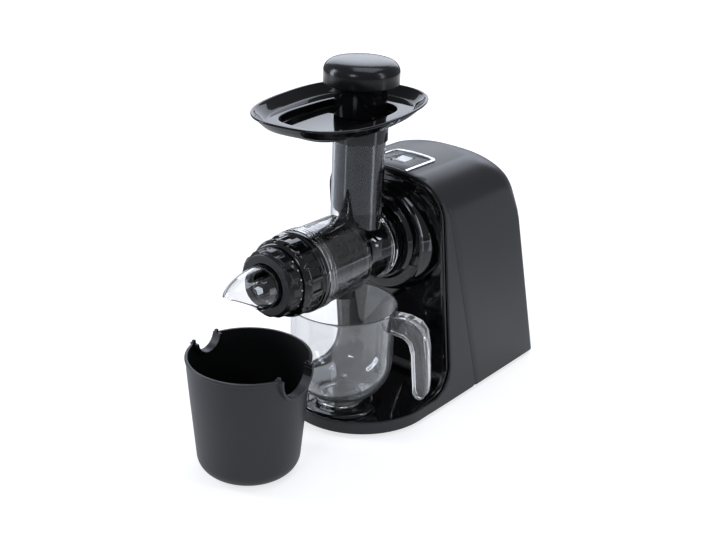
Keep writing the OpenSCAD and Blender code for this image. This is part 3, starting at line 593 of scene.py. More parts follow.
def cheek_rows(sign):
    """Sections of one cheek from its top down, and on round the sweep."""
    def follow(p):
        return Vector((sign * side_half(p.z), p.y, p.z))

    out = []
    for z in spread(CHEEK_TOP, SWEEP_TOP, 34):
        y = lip_y(z) if z > SWEEP_TOP + 0.6 else polar(SWEEP_R, SWEEP_START, SWEEP_MID)[0]
        out.append(wall_row((0, y, z), (0, seam_y(z), z), (sign, 0, 0), follow))
    low_share = 1 / 1.9
    for i in range(1, 17):
        y, z = polar(SWEEP_R, SWEEP_START - 82 * i / 16, SWEEP_MID)
        t = i / 16
        seam_z = SWEEP_TOP + (BASE_Z - SWEEP_TOP) * min(1, t / low_share)
        forward = max(0, (t - low_share) / (1 - low_share))
        seam = seam_y(seam_z) + (SWEEP_Y - seam_y(BASE_Z)) * forward
        out.append(wall_row((0, y, z), (0, seam, seam_z), (sign, 0, 0), follow))
    return out


def rim_row(x, y, nx, ny):
    return wall_row((x, y, RIM_Z), (x, y, BASE_Z), (nx, ny, 0))


def front_frame():
    """Matt cheeks and deck rim, skinned round the front edge in one piece."""
    rim = [rim_row(DECK_HALF, y, 1, 0) for y in spread(SWEEP_Y, DECK_MID, 4)[1:-1]]
    for a in spread(0, -180, 72):
        out = Vector((cos(radians(a)) / DECK_HALF, sin(radians(a)) / DECK_DEPTH)).normalized()
        rim.append(rim_row(*deck_point(0, a), *out))
    rim += [rim_row(-DECK_HALF, y, -1, 0) for y in spread(DECK_MID, SWEEP_Y, 4)[1:-1]]
    piece("front_frame_shell", tube(cheek_rows(1) + rim + cheek_rows(-1)[::-1]), ["matt_frame"],
          "machine", ["front_frame"])


# Gloss arch: its gap inside the cheeks, the width of its lip and the radius of the lip's edges
FIT, LIP, CREST = WALL + 0.5, 6, 1.6


def quarter(r, angles):
    """Steps in and back along a quarter round: 0 degrees is its front, 90 its side."""
    return [(r * (1 - cos(radians(a))), r * (1 - sin(radians(a)))) for a in angles]


# Section of the lip: distance in from its flank and distance behind its front
LIP_SECTION = [(0, 9), (0, CREST)] + quarter(CREST, (22, 45, 68, 90)) \
    + [(LIP - f, back) for f, back in quarter(CREST, (90, 66, 44, 22, 0))]


def arch_half(inset, z):
    """Half width of the arch below its shoulders."""
    return HALF_W - inset - 1 - 2.0 * (z - 11) / (SHOULDER_Z - 11)


def arch_at(inset, t):
    """Arch point and its outward direction; t runs 0 to 1 from the sweep over the top."""
    r = SHOULDER_R - inset
    side = SHOULDER_Z - SWEEP_TOP
    over = pi / 2 * r
    s = min(t, 1 - t) * 2 * (side + over + TOP_HALF)
    sign = 1 if t <= 0.5 else -1
    if s <= side:
        z = SWEEP_TOP + s
        return sign * arch_half(inset, z), z, sign, 0
    if s <= side + over:
        a = (s - side) / r
        return (sign * (TOP_HALF + r * cos(a)), SHOULDER_Z + r * sin(a), sign * cos(a), sin(a))
    x = TOP_HALF * max(0, 1 - (s - side - over) / TOP_HALF)
    return sign * x, crown_z(x) - inset, 0, 1


def arch_row(t):
    """Section of the arch: lip, wall of the recess and the wall's soft root on the face."""
    x, z, nx, nz = arch_at(FIT, t)

    def place(f):
        return x - nx * f, z - nz * f

    row = []
    for f, back in LIP_SECTION:
        px, pz = place(f)
        row.append((px, lip_y(pz) - 1 + back, pz))
    px, pz = place(LIP)
    deep = face_y(pz)
    soft = min(2, (deep - row[-1][1]) * 0.45)
    row += [(px, y, pz) for y in spread(row[-1][1], deep - soft, 5)[1:]]
    for f, back in quarter(soft, (22, 45, 68, 90)):
        row.append((px - nx * f, deep - back, pz - nz * f))
    row.append((px - nx * (soft + 1.5), deep + 0.06, pz - nz * (soft + 1.5)))
    return row


def foot_rows(sign):
    """Sections of the lip swept down into the deck and faded out along its rim."""
    tail = [(polar(SWEEP_R - 1, a, SWEEP_MID), polar(1, a))
            for a in spread(SWEEP_START, -90, 18)[1:]]
    tail += [((y, 19.0 - 6.0 * step(SWEEP_Y - y, 0, 40)), (-0.12, -0.99))
             for y in spread(SWEEP_Y, 4, 12)[1:]]
    out = []
    for i, ((y, z), (dy, dz)) in enumerate(tail):
        x = arch_half(FIT, z)
        if y < DECK_MID:
            x = (DECK_HALF - FIT) * cos(asin((y - DECK_MID) / (DECK_DEPTH - FIT))) - 0.3
        row = [(sign * (x - f), y + dy * back, z + dz * back) for f, back in LIP_SECTION]
        # the wall runs on to the face, the corner and the deck in turn
        end_z = SWEEP_TOP - 60 * (i + 1) / len(tail)
        if end_z > DECK_Z:
            end = (max(face_y(end_z), y + 0.5), end_z)
        else:
            end = (face_y(DECK_Z) - (DECK_Z - end_z) * 2.6, DECK_Z - 0.02)
        row += [(sign * (x - LIP), *lerp(row[-1][1:], end, k / 10)) for k in range(1, 11)]
        out.append(row)
    return out


def in_recess(x, z):
    """Whether a point of the leaning face lies inside the wall of the recess."""
    if z <= SHOULDER_Z:
        return abs(x) < arch_half(FIT + LIP, z) and z > 24
    if abs(x) <= TOP_HALF:
        return z < crown_z(x) - FIT - LIP
    return hypot(abs(x) - TOP_HALF, z - SHOULDER_Z) < SHOULDER_R - FIT - LIP


def face_row(a, hole=56, thick=2.6):
    """Section of the leaning face from the socket's hole out to the recess wall and back."""
    lo, hi = 50, 220
    for _ in range(40):
        mid = (lo + hi) / 2
        lo, hi = (mid, hi) if in_recess(*polar(mid, a, (0, AXIS_Z))) else (lo, mid)
    far = lo + 0.05
    row = []
    for r, back in [(r, 0) for r in spread(hole, far, 6)] + [(far, thick), (hole, thick)]:
        x, z = polar(r, a, (0, AXIS_Z))
        row.append((x, face_y(z) + back, z))
    return row


def deck_parts(soft=10):
    """Soft corner between face and deck, the deck, and the jug's platform on it."""
    lean = atan(FACE_SLOPE)
    cut = soft * tan((pi / 2 - lean) / 2)
    corner = [(face_y(26), 26)]
    corner += arc(face_y(DECK_Z) - cut, DECK_Z + soft, soft, degrees(lean), -90, 10)
    corner_part = grid([[(x, y, z) for x in spread(-69.5, 69.5, 8)] for y, z in corner])
    outline = [(DECK_HALF - FIT, 95)] + [deck_point(FIT, a) for a in spread(0, -180, 72)]
    outline.append((FIT - DECK_HALF, 95))
    stand = rounded([(0, DECK_Z - 1.5, 0), (42.4, DECK_Z - 1.5, 0), (42.2, DECK_Z + 0.4, 1.2),
                     (40.6, PLATFORM_Z, 1.6), (33.9, PLATFORM_Z, 0.5), (33, PLATFORM_Z - 1, 0.5),
                     (0, PLATFORM_Z - 1, 0)], 5)
    return [corner_part, prism(outline, DECK_Z - 3, DECK_Z), lathe(stand, "z", (0, JUG_Y, 0), 160)]


def front_panel():
    """Gloss arch with its rounded lip, the recessed face, the deck and the jug's platform."""
    arch = [arch_row(t) for t in spread(0, 1, 120)]
    lip = grid(foot_rows(1)[::-1] + arch + foot_rows(-1))
    face = hoop([face_row(a) for a in range(0, 360, 2)])
    piece("front_panel_gloss", join(lip, face, *deck_parts()), ["gloss_black"], "machine",
          ["front_panel"], 32, weld=0)


def drum_socket():
    """Gloss bell whose flare stops where it meets the leaning face."""
    y = BOSS_FRONT
    profile = rounded([(33.6, y + 7, 0), (33.6, y - 1, 0.8), (35, y - 1, 0.5), (38, 33.2, 0.9),
                       (42, 33.2, 0.9), (44.5, y, 0.8), (53.6, y, 0)])
    profile += arc(52.8, y + 2.4, 2.4, -70, 0, 6)
    profile += [(56.3, y + 4.4), (57.3, y + 6.3), (58.2, y + 8.2), (59.4, y + 11), (60.6, y + 14.4),
                (61.5, y + 18), (62.2, y + 22), (62.7, y + 27), (63, y + 34), (55, y + 34)]
    profile += [(55, 66), (50, 66), (50, 61), (16.1, 61), (16.1, 58), (12.6, 58), (12.6, 52.5),
                (39.6, 52.5), (39.6, 44.5)]
    verts, faces = barrel(profile, 192)
    verts = [(x, min(y, face_y(z) - 0.05) if hypot(x, z - AXIS_Z) > 55.5 else y, z)
             for x, y, z in verts]
    obj = piece("drum_socket_bell", (verts, faces), ["gloss_black"], "machine", ["drum_socket"])
    for a in (60, 180, 300):
        carve(obj, placed(box_part((30, 30, -7.6), (39.6, 48, 7.6)), BARREL, a, "Y"))
    sharpen(obj)


# ------------------------------ drum and end cap

def drum():
    """Clear drum with its grooved collar, feed tube, outlet pipe and bayonet lugs."""
    outside = [(0, -86, 0), (41, -86, 0.5)]
    for y in (-82, -78.6):
        outside += [(41, y - 0.4, 0.3), (40.3, y, 0.3), (41, y + 0.4, 0.3)]
    outside += [(41, -75, 0.5), (39.5, -75, 0.6), (39.5, -22.6, 1), (36.3, -22, 0.5),
                (36.3, 14, 0.4), (38.5, 15, 0.5), (38.5, 21, 0.5), (33, 22, 0.5), (33, 50, 0.8),
                (0, 50, 0)]
    obj = piece("drum_clear", barrel(rounded(outside)), ["clear_drum"], "drum_set", ["drum"])
    tube_top = [(26, 307.4), (25.7, 307.8), (25.2, 308), (0, 308)]
    carve(obj, lathe([(0, 205), (26, 205)] + tube_top), "UNION")
    pipe = [(0, 138), (9.1, 138), (9.5, 138.4), (9.5, 152), (0, 152)]
    carve(obj, lathe(pipe, "z", (0, JUG_Y, 0), 72), "UNION")
    guide = rounded([(30, 186, 0.8), (38.2, 186, 0.8), (38.2, 206, 0.8), (30, 206, 0.8)], 3)
    carve(obj, prism(guide, -20, -6, "y"), "UNION")
    for a in (90, 210, 330):
        carve(obj, placed(box_part((30.5, 45.2, -7), (38.9, 49.9, 7)), BARREL, a, "Y"), "UNION")
    inside = [(0, -90, 0), (37, -90, 0), (37, -26, 1.5), (33.6, -23, 1.5), (33.6, 23, 1.5),
              (30.6, 29, 1.5), (30.6, 60, 0), (0, 60, 0)]
    carve(obj, barrel(rounded(inside)))
    carve(obj, lathe([(0, 186), (24, 186), (24, 330), (0, 330)]))
    carve(obj, lathe([(0, 120), (7, 120), (7, 165), (0, 165)], "z", (0, JUG_Y, 0), 72))
    sharpen(obj)


def nozzle():
    profile = [(17, -134), (17, -127.2), (21.1, -127), (21.5, -126.6), (21.5, -102), (26, -98),
               (31, -86), (31, -75.7), (36.5, -75.7), (36.8, -75.4), (36.8, -74.3), (33, -74.3),
               (29, -76), (24, -86), (15, -104), (15, -133.6), (15.4, -134)]
    piece("nozzle_tube", barrel(profile, 128), ["gloss_black"], "drum_set", ["nozzle"])


def scooped(r, near, mid, scoop):
    """Radius left where a scoop of a given radius, centred at mid, cuts in at an angle."""
    far = mid * sin(near)
    if abs(far) >= scoop:
        return r
    return min(r, mid * cos(near) - sqrt(scoop ** 2 - far ** 2))


RIBS = 16


def ring_radius(r, y, off, half, pitch):
    """Radius of the locking ring at off degrees from the middle of a pocket."""
    if -109.6 < y < -93.9 and r > 37:
        side = 1 - step(abs(off), half - 0.75, half + 0.35)
        r -= 1.9 * side * step(y, -109.4, -108.3) * (1 - step(y, -95.2, -94.1))
    if y < -109.3 and r > 30:
        cut = scooped(r, radians(pitch / 2 - abs(off)), 40.1, 3.4)
        r += (cut - r) * (1 - step(y, -110.4, -109.3))
    return r


def locking_ring():
    """Gloss ring with rounded rectangular pockets and a scalloped front edge."""
    outline = [(31.4, -76), (36.6, -76), (36.6, -86.4), (39.6, -86.4), (39.9, -86.7),
               (40.3, -87.2), (40.6, -87.9), (40.6, -91.6), (40.4, -92.1), (39.2, -92.6),
               (38.7, -92.9), (38.5, -93.3)]
    for y in (93.7, 94.2, 94.5, 94.9, 95.4, 97, 99, 101, 103, 105, 107, 108.1, 108.6, 109, 109.3,
              109.8, 110):
        outline.append((38.5, -y))
    outline += [(38.3, -110.8), (37.8, -111.9), (36.9, -113.4), (35.9, -114.8), (35.2, -115.6),
                (34.3, -116), (33, -116), (27.4, -116), (27.4, -104), (31.4, -92)]
    pitch = 360.0 / RIBS
    half = degrees(4.6 / 38.5)
    offsets = [half + d for d in (-0.9, -0.5, -0.2, 0.05, 0.3, 0.7)] + [3.5]
    offsets += [pitch / 2 - d for d in (0.02, 1.2, 2.4, 3.4)]
    offsets = sorted({round(s * off, 4) for s in (-1, 0, 1) for off in offsets})
    rows = []
    for k in range(RIBS):
        for off in offsets:
            profile = [(ring_radius(r, y, off, half, pitch), y) for r, y in outline]
            rows.append(spoke(profile, radians(k * pitch + off), "y", BARREL))
    piece("locking_ring_ribbed", hoop(rows), ["gloss_black"], "lock", ["locking_ring"], 32)


def knob_radius(r, y, near):
    """Radius of the knob at an angle from the middle of a finger scoop."""
    if r <= 30.6 or y >= -116:
        return r
    share = step(y, -131.6, -129.4) * (1 - step(y, -121.8, -119.7))
    return r + (scooped(r, near, 37.4, 6.6) - r) * share


def pressure_knob():
    """Lobed knob with a matt front face."""
    lobes, steps = 12, 20
    outline = [(21.8, -113), (21.8, -133), (22.4, -133), (24, -133), (27, -133), (29, -133),
               (29.5, -132.9), (29.9, -132.6), (30.2, -132.2), (30.4, -131.9), (31.3, -131.2),
               (32.1, -130.4), (32.5, -129.9), (32.9, -129.2), (33, -128.4)]
    outline += [(33, -y) for y in (127, 125, 123, 122, 121.4, 120.9, 120.4, 119.9)]
    outline += [(32.95, -119.6), (32.95, -117.2), (32.7, -116.8), (32.2, -116.5), (31.5, -116.4),
                (27, -116.4), (27, -113)]
    rows = []
    for k in range(lobes * steps):
        near = radians((0.5 - (k % steps) / steps) * 360.0 / lobes)
        profile = [(knob_radius(r, y, near), y) for r, y in outline]
        rows.append(spoke(profile, radians(360.0 * k / (lobes * steps)), "y", BARREL))
    obj = piece("pressure_knob_lobed", hoop(rows), ["knob_black", "knob_face_grey"], "knob",
                ["pressure_knob"], 32)
    for face in obj.data.polygons:
        if face.center.y / MM - OY < -132.85:
            face.material_index = 1


def pulp_spout():
    """Clear hood, thin walled, cut away underneath."""
    reach, root = 52, 21
    outer = []
    for a in spread(0, 87, 29):
        k = sin(radians(a))
        outer.append((root * sqrt(1 - 0.985 * k * k), -133 - k * reach))
    outer.append((1.2, -184.7))
    inner = [(max(0.4, r - 2), y + 1.2) for r, y in outer[1:-1] if y < -136.7]
    profile = [(0, -185)] + outer[::-1] + [(21.1, -132), (21.1, -127.3), (20.8, -127), (17.3, -127),
                                           (17, -127.3), (17, -134), (18.5, -135)]
    obj = piece("pulp_hood", barrel(profile + inner + [(0, -181.5)], 144), ["clear_hood"],
                "drum_set", ["pulp_spout"])
    carve(obj, prism([(-200, 198.2), (-200, 120), (-134.6, 120), (-134.6, 159)], -40, 40, "x"))
    sharpen(obj)


def knob_glints():
    """Small white dots round the knob's rear band: painted highlights in place of specular glints.
    """
    dot = lathe([(0, -0.5), (0.8, -0.5), (0.8, 0.02), (0.65, 0.1), (0, 0.1)], segs=20)
    parts = []
    for a in GLINT_ANGLES:
        x, z = polar(32.95, a, (0, AXIS_Z))
        parts.append(placed(dot, (x, -118.3, z), 90 - a, "Y"))
    piece("knob_painted_glints", join(*parts), ["print_and_glint_white"], "knob", angle=35)


# ------------------------------ tray and pusher

LEDGE_Z = 331.5


def oval(half, length, power, z, turn, mid, count=208):
    """Rounded outline at one height, moved to its middle and then turned."""
    out = []
    for i in range(count):
        c, s = polar(1, 360 * i / count)
        x = half * copysign(abs(c) ** (2 / power), c) + mid[0]
        y = length / 2 * copysign(abs(s) ** (2 / power), s) + mid[1]
        out.append((x * cos(turn) - y * sin(turn), x * sin(turn) + y * cos(turn), z))
    return out


def dish(inset, z):
    """Outline of the tray, inset from its rim."""
    return oval(67 - inset, 197 - 2 * inset, 2.6, z, radians(8), (0, -34.5))


def trough(out, z):
    """Outline of the channel in the tray's ledge, set out from its wall."""
    return oval(38 + out, 124 + 2 * out, 3.4, z, radians(2), (1, -35))


def food_tray():
    """Shallow oval dish with a rounded overhanging rim and a channel sunk into its ledge."""
    rows = [trough(out, z) for out, z in [
        (0.6, 321), (1.6, 321.2), (2.3, 321.9), (2.5, 322.8), (2.5, 328.4), (2.8, 329)]]
    rows += [dish(inset, z) for inset, z in [
        (12.6, 329.15), (11.4, 329.4), (10.2, 330.2), (8.2, 332.1), (6.1, 334.2), (4.3, 336.2),
        (2.6, 338.2), (2, 338.75), (1, 338.85), (0.35, 339.1), (0.05, 339.6), (0, 340.1),
        (0.2, 340.55), (0.6, 340.85), (1.1, 341), (1.9, 341), (2.5, 340.85), (2.9, 340.5),
        (3.2, 340), (4.6, 338.7), (6.6, 336.8), (8.6, 334.8), (10.4, 333), (11.4, 332.15),
        (12.3, 331.7), (13.4, LEDGE_Z)]]
    edge = trough(1.2, LEDGE_Z)
    for k in (0.2, 0.4, 0.6, 0.8):
        rows.append([lerp(p, q, k) for p, q in zip(dish(13.4, LEDGE_Z), edge)])
    rows.append(edge)
    rows += [trough(out, z) for out, z in [
        (0.6, 331.4), (0.2, 331.1), (0, 330.5), (0, 326.2), (-0.2, 325.2), (-0.8, 324.3),
        (-1.7, 323.7), (-2.8, 323.5)]]
    obj = piece("food_tray_dish", tube(rows), ["tray_black"], "tray", ["food_tray"], 34)
    carve(obj, lathe([(0, 300), (24.4, 300), (24.4, 322.7), (24.8, 323.2), (25.4, 323.4),
                      (25.4, 350), (0, 350)]))
    sharpen(obj, 34)
    collar = rounded([(26.4, 299, 0.3), (28, 299, 0.5), (28, 321.3, 0), (24.4, 321.3, 0),
                      (24.4, 308.4, 0.3), (26.4, 308.4, 0.2)], 3)
    piece("food_tray_collar", lathe(collar), ["gloss_black"], "tray", ["food_tray"], 34)


def pusher():
    """Satin plunger with four guide grooves."""
    outline = [(17, 227), (17.6, 226), (20, 226), (21.4, 226.5), (22.6, 227.6), (23.3, 228.8)]
    outline += [(23.5, z) for z in (230, 234, 236, 237, 270, 318, 320, 323.9)]
    outline += [(24.9, 323.9), (25.4, 324.1), (25.6, 324.6), (25.6, 356), (0, 356), (0, 234)]
    rows = []
    for a in range(0, 360, 2):
        groove = 0.85 * (1 - step(abs((a + 45) % 90 - 45), 4.4, 5.6))
        profile = [(17, 234)]
        for r, z in outline:
            share = step(z, 235, 237) * (1 - step(z, 318, 320)) if r > 23.4 else 0
            profile.append((r - groove * share, z))
        rows.append(spoke(profile, radians(a)))
    piece("pusher_body", hoop(rows), ["satin_black"], "plunger", ["pusher"])


def pusher_cap():
    profile = [(0, 356), (25.3, 356), (25.7, 355.6), (25.7, 354.4), (26.1, 354)]
    profile += rounded([(26.1, 354, 0), (37, 354, 1.2), (37, 365.5, 0)])[1:]
    profile += arc(26, 365.5, 11, 0, 70, 14)[1:]
    profile += [(28, 376.3), (25.6, 376.8), (22.5, 377.2), (18, 377.6), (12, 377.85),
                (6, 377.97), (0, 378)]
    piece("pusher_knob", lathe(profile, segs=176), ["cap_black"], "plunger", ["pusher_cap"])


# ------------------------------ jug and cup

def hook_handle(flank=3.2, half_width=9):
    """Open hook handle with well-rounded flanks, in the plane y = 0."""
    outline = rounded([(50, 110, 0), (72, 110, 9), (85, 106.5, 9), (92, 98, 10), (95.5, 80, 14),
                       (97.5, 42, 14), (97.3, 30, 5), (95, 25.5, 3), (90.5, 23, 3), (86, 25, 3),
                       (83.5, 30, 5), (81.5, 50, 12), (79.5, 72, 8), (76.5, 82, 6), (70, 88, 8),
                       (50, 91, 0)], 8)
    rows = []
    for a in [k for k in range(-90, 91, 15) if k]:
        inward = flank * (1 - cos(radians(a)))
        y = copysign(half_width - flank, a) + flank * sin(radians(a))
        rows.append([(x, -y, z) for x, z in offset(outline, -inward)])
    return tube(rows)


def juice_jug():
    """Clear jug whose round bowl stands on a short foot ring."""
    def stand(part):
        return placed(part, (0, JUG_Y, PLATFORM_Z), HANDLE_TURN)

    h, r, wall = JUG_RIM - PLATFORM_Z, JUG_R, 2.4
    bowl, bowl_r, bowl_z = 42, r - 44.6, 46.4
    outer = [(0, bowl_z - bowl)] + arc(bowl_r, bowl_z, bowl, -90, -77, 4)
    outer += [(20.9, 0.6), (21.5, 0), (24.4, 0), (25, 0.6), (25.4, 6.6)]
    outer += arc(bowl_r, bowl_z, bowl, -67, 0, 20)
    outer += [(r - 2.4, 60), (r - 2, 82), (r - 1.6, h - 14), (r - 0.9, h - 8),
              (r, h - 3), (r + 0.25, h - 0.9), (r + 0.1, h - 0.25), (r - 0.4, h), (r - 1.5, h)]
    inner = [(0, h + 3), (r - 1.5, h + 3), (r - 1.5, h), (r - 2.1, h - 0.4), (r - 2.3, h - 1.4),
             (r - 2.4, h - 3), (r - 3.3, h - 8), (r - 4, h - 14), (r - 4.4, 82), (r - 4.8, 60)]
    inner += arc(bowl_r, bowl_z, bowl - wall, 0, -90, 24) + [(0, bowl_z - bowl + wall)]
    obj = piece("jug_clear", stand(lathe(outer + [(0, h)], segs=192)), ["clear_jug"], "jug",
                ["juice_jug"])
    carve(obj, stand(hook_handle()), "UNION")
    carve(obj, stand(lathe(inner, segs=192)))
    sharpen(obj, 32)


# The cup's wide notch and its smaller one: side, radius, rise of the centre, angle of the horns
NOTCHES = ((3, 20.6, -3.2, 21.5), (182, 14.6, 1.5, 15.6))


def cup_wall(inset, low):
    """Outline of the cup's wall from its rounded foot up, cut off below a height."""
    pts = arc(33, 17.5, 17.5 - inset, -90, -8, 14)
    pts += [(r - inset, z) for r, z in [(50.96, 22), (52.59, 40), (54.4, 60), (55.76, 75),
                                        (57.1, 90), (58.3, 105)]]
    return [(r, max(z, low)) for r, z in pts]


def notch(obj, side, r, rise, horn_turn, lining=2.4):
    """Lines a round notch in the rim with a half pipe that ends in two horns."""
    r += lining
    level = degrees(asin(-rise / r))
    pipe = prism(arc(0, 0, r, -180 - level, level, 48), 50, 59.55, "x")
    carve(obj, placed(pipe, (CUP_X, CUP_Y, CUP_H + rise), side), "UNION")
    horn = lathe([(0, -4), (2, -4), (2, 2.2), (1.8, 2.7), (1.3, 3.05), (0.7, 3.2), (0, 3.2)],
                 "z", (58, 0, 0), 32)
    for a in (-horn_turn, horn_turn):
        carve(obj, placed(horn, (CUP_X, CUP_Y, CUP_H), side + a), "UNION")


def inside_cup(face):
    """Whether a face belongs to the cup's inner wall or floor."""
    x, y, z = face.center / MM - Vector((OX + CUP_X, OY + CUP_Y, 0))
    r = hypot(x, y)
    outward = (face.normal.x * x + face.normal.y * y) / max(r, 1e-6)
    return (outward < -0.3 and r < 58.5) or (z < 4 and face.normal.z > 0.5)


def pulp_cup():
    """Matt cup with a rim bead and two round notches, its inside given a near-black material as
    painted shade.
    """
    outside = [(0, 0)] + cup_wall(0, 0) + [
        (59.2, 116.9), (59.6, 117.2), (59.9, 117.7), (59.97, 118.2), (59.97, 119.2),
        (59.8, 119.6), (59.4, 119.9), (58.9, CUP_H), (0, CUP_H)]
    inside = [(0, 3)] + cup_wall(2.6, 3)[1:] + [(56.75, 119), (56.9, 119.6), (57.4, 120.05),
                                               (57.4, 132), (0, 132)]
    obj = piece("pulp_cup_shell", lathe(outside, "z", (CUP_X, CUP_Y, 0), 208),
                ["cup_grey", "cup_inside_painted_shade"], "cup", ["pulp_cup"], 32)
    carve(obj, lathe(inside, "z", (CUP_X, CUP_Y, 0), 208))
    for row in NOTCHES:
        notch(obj, *row)
    for side, r, rise, _ in NOTCHES:
        top = degrees(asin((3.5 - rise) / r))
        gap = arc(0, 0, r, -180 - top, top, 52)
        gap += [(gap[-1][0], 14), (gap[0][0], 14)]
        carve(obj, placed(prism(gap, 38, 75, "x"), (CUP_X, CUP_Y, CUP_H + rise), side))
    # The inner wall and floor take the near-black material: painted shade inside the cup
    for face in obj.data.polygons:
        face.material_index = int(inside_cup(face))
    sharpen(obj, 32)


# ------------------------------ switch and feet

def crowned(outline, proud, thick, edge=0.35):
    """Slab that follows the cover's crown, from a plan outline of (x, y) points."""
    outline = subdivide(outline, 3)
    rows = []
    for drop, inward in [(thick, 0), (edge, 0), (edge * 0.3, edge * 0.3), (0, edge)]:
        rows.append([(x, y, crown_z(x) + proud - drop) for x, y in offset(outline, inward)])
    return tube(rows)


def switch_parts():
    """U-shaped trim, open towards the front, and the plate inside it."""
    x, y0, y1 = 27, 44.5, 98
    trim = rounded([(x, y0, 0), (x, y1, 6.5), (-x, y1, 6.5), (-x, y0, 0), (-24, y0, 0),
                    (-24, 93.9, 3.4), (24, 93.9, 3.4), (24, y0, 0)], 8)
    piece("switch_trim_bright", crowned(trim, 1.3, 1.1), ["satin_trim"], "machine",
          ["switch_trim"], 32)
    plate = rounded([(-23.8, 46.2, 0.4), (23.8, 46.2, 0.4), (23.8, 93.8, 3.4), (-23.8, 93.8, 3.4)])
    obj = piece("switch_plate_grey", crowned(plate, 0.3, 3.2, 0.3), ["plate_grey"], "machine",
                ["switch_plate"], 32)
    carve(obj, box_part((-8.2, 62.8, BODY_TOP - 12), (8.2, 85.2, BODY_TOP + 8)))
    sharpen(obj, 32)


def rocker():
    """White rocker with a shallow dish across its top, on its pin."""
    side = rounded([(-8.8, 8, 0.6), (-9.2, 5, 0.4), (-3.8, -6, 1), (3.8, -6, 1), (9.2, 5, 0.4),
                    (8.8, 8, 0.6), (4.6, 7.2, 2), (0, 6.9, 6), (-4.6, 7.2, 2)])
    pin_y, pin_z, middle = 74, 254, 1
    rows = []
    for x, inward in [(-7.2, 0.5), (-7.05, 0.15), (-6.7, 0), (6.7, 0), (7.05, 0.15), (7.2, 0.5)]:
        k = 1 - inward / 9
        rows.append([(x, pin_y + y * k, pin_z + middle + (z - middle) * k) for y, z in side])
    pin = lathe([(0, -10.5), (1.5, -10.5), (1.5, 10.5), (0, 10.5)], segs=24)
    piece("rocker_white", join(tube(rows), placed(pin, (0, pin_y, pin_z), 90, "Y")),
          ["rocker_white"], "rocker", ["rocker_switch"], 32)


def switch_marks():
    """Plain white dashes beside the rocker."""
    marks = []
    for y in (69.5, 78.5):
        for x in (-11.2, -14.4):
            marks.append(box_part((x - 0.9, y - 0.35, crown_z(x) - 0.2),
                                  (x + 0.9, y + 0.35, crown_z(x) + 0.36)))
    piece("switch_marks", join(*marks), ["print_and_glint_white"], "machine", angle=35)


def feet():
    profile = rounded([(0, 0, 0), (10.8, 0, 0.6), (12, 1.2, 0.5), (12, 5, 0), (2.4, 5, 0),
                       (2.4, 7.5, 0), (3.4, 7.6, 0.2), (2.2, 10, 0.4), (0, 10, 0)], 3)
    parts = [lathe(profile, "z", (x, y, 0), 48) for y in (-2, 224) for x in (-56, 56)]
    piece("rubber_feet_round", join(*parts), ["foot_rubber"], "machine", ["rubber_feet"], 32)


# ------------------------------ build and dress

for build in (rear_cover, front_frame, front_panel, drum_socket, drum, nozzle, locking_ring,
              pressure_knob, knob_glints, pulp_spout, food_tray, pusher, pusher_cap, juice_jug,
              pulp_cup, switch_parts, rocker, switch_marks, feet):
    build()

# Carried-over nodes by material, each with the width of its edges' rounding
CARRIED_OVER = {
    "matt_frame": {"base_plate": 0.4},
    "foot_rubber": {"cord_gland": 0.4},
    "board_green": {"control_board": 0.0},
    "film_yellow": {"filter_capacitor": 0.8},
    "satin_black": {"switch_housing": 0.3, "motor_end_bell": 0.4, "strainer_frame": 0.2},
    "zinc_plate": {"base_screws": 0.15, "gear_case_screws": 0.2, "motor_clamp": 0.3,
                   "output_coupling": 0.3},
    "die_cast": {"gear_case_front": 0.5, "gear_case_rear": 0.5, "motor_magnets": 0.2},
    "ground_steel": {"motor_can": 0.4, "idler_shaft": 0.2, "output_bearing": 0.2,
                     "output_shaft": 0.3, "auger_shaft": 0.4},
    "cut_brass": {"motor_bearing": 0.2, "motor_pinion": 0.0},
    "wound_copper": {"motor_rotor": 0.2},
    "nylon_cream": {"cooling_fan": 0.2, "idler_gear": 0, "output_gear": 0.0},
    "seal_black": {"socket_seal": 0.2, "auger_seal": 0.2, "outlet_valve": 0.4, "ring_gasket": 0.2},
    "auger_black": {"auger": 0.0},
    "strainer_sheet": {"strainer_mesh": 0.0},
}
for mat, bevels in CARRIED_OVER.items():
    for node, bevel in bevels.items():
        dress(node, MAT[mat], bevel)


# ------------------------------ camera, light and floor

def camera(place, azimuth, elevation, roll, focal_px, width_px=716):
    """Camera at a place in metres, looking along the angles fitted to the photograph."""
    data = bpy.data.cameras.new("camera")
    data.sensor_width = 36
    data.sensor_fit = "HORIZONTAL"
    data.lens = focal_px / width_px * data.sensor_width
    data.clip_start, data.clip_end = 0.05, 30
    obj = new_object("camera", data)
    obj.matrix_world = Matrix.Translation(place)
    for angle, axis in ((azimuth, "Z"), (90 - elevation, "X"), (roll, "Z")):
        obj.matrix_world @= Matrix.Rotation(radians(angle), 4, axis)
    bpy.context.scene.camera = obj


def lamp(name, at, aim, size, size_y, radiance):
    """Soft panel of a given brightness, a little cooler than white."""
    data = bpy.data.lights.new(name, "AREA")
    data.energy = radiance * pi * size * size_y
    data.color = (0.90, 0.96, 1.08)
    data.shape = "RECTANGLE"
    data.size, data.size_y = size, size_y
    obj = new_object(name, data)
    obj.location = at
    obj.rotation_mode = "QUATERNION"
    obj.rotation_quaternion = (Vector(aim) - Vector(at)).to_track_quat("-Z", "Y")
    obj.visible_camera = False


camera(((674.9 + OX) * MM, (-861.7 + OY) * MM, 0.627), 37.87, 23.12, 2.25, 1167.7)
lamp("softbox_top", (0.15, 0.10, 1.55), (0, 0.02, 0.15), 1, 1, 2.7)
lamp("softbox_left", (-1.35, -0.85, 0.65), (0, -0.05, 0.18), 0.36, 1.2, 9.5)
lamp("softbox_right", (1.45, 0.30, 0.80), (0, 0, 0.16), 0.22, 1.2, 6)
lamp("softbox_front", (0.35, -1.75, 1.10), (0, -0.05, 0.15), 0.45, 0.45, 8.5)
lamp("softbox_back", (-1.15, 1.50, 1.10), (0, 0, 0.25), 2.3, 1.2, 2)
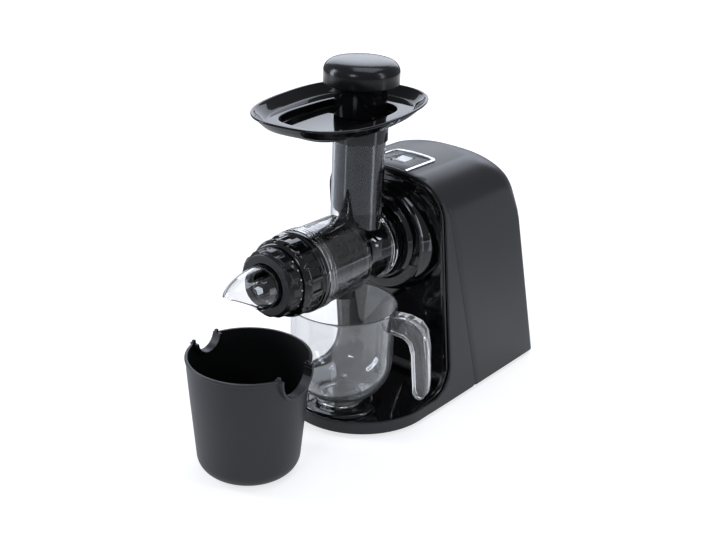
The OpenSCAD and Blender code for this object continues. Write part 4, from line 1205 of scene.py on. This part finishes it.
# narrow low strips that only draw the streaks on the upright round walls
lamp("strip_right", (0.44, 0.12, 0.13), (0, 0, 0.30), 0.08, 0.24, 1.2)
lamp("strip_left", (-0.17, -0.51, 0.12), (0, 0, 0.30), 0.06, 0.24, 1)


def studio_world():
    """White where it is looked at, and dim for the light and the reflections that it gives."""
    world = bpy.data.worlds.new("studio")
    s = Shader(world, "OutputWorld")
    fill = s.add("Background", {"Color": (0.93, 0.95, 1, 1), "Strength": 0.28})
    seen = s.add("Background", {"Color": (1, 1, 1, 1), "Strength": 1.0})
    looked_at = s.looked_at(s.add("LightPath").outputs)
    return s.finish("MixShader", {0: looked_at, 1: fill.outputs[0], 2: seen.outputs[0]})


def floor_material():
    """White paper: its own light where it is looked at, and the object's soft shadow.

    Gloss surfaces mirror its glow near the object and in one band further out.
    """
    s = new_material("paper_floor")
    paper = s.add("BsdfDiffuse", {
        "Color": s.ramp(s.noise(30, 4), (0.49, 0.49, 0.50), (0.51, 0.51, 0.52)),
        "Normal": s.bump(s.noise(900, 2), 0.05, 0.0001)})
    far = s.add("VectorMath", {0: s.coords()}, operation="LENGTH").outputs["Value"]
    path = s.add("LightPath").outputs
    direct = s.maths("MULTIPLY", s.looked_at(path), s.span(far, 0.70, 1, 0.6, 3.2))
    band = s.maths("MULTIPLY", s.span(far, 0.04, 1, 1.20, 1.40), s.span(far, 1, 0, 1.65, 1.95))
    near = s.span(far, 0.36, 0, 0.32, 0.62)
    mirrored = s.maths("MULTIPLY", path["Is Glossy Ray"], s.maths("ADD", band, near))
    glow = s.add("Emission", {"Color": (1, 1, 1, 1),
                                        "Strength": s.maths("MAXIMUM", direct, mirrored)})
    return s.finish("AddShader", {0: paper.outputs[0], 1: glow.outputs[0]})


def paper_floor(half=6, cells=24):
    """Square floor, in metres, a hair below the feet."""
    places = spread(-half, half, cells)
    verts, faces = grid([[(x, y, -0.00005) for x in places] for y in places])
    mesh = bpy.data.meshes.new("floor")
    mesh.from_pydata(verts, [], faces)
    mesh.materials.append(floor_material())
    return new_object("floor", mesh)


bpy.context.scene.world = studio_world()
floor = paper_floor()

bpy.context.scene.view_settings.view_transform = "Standard"
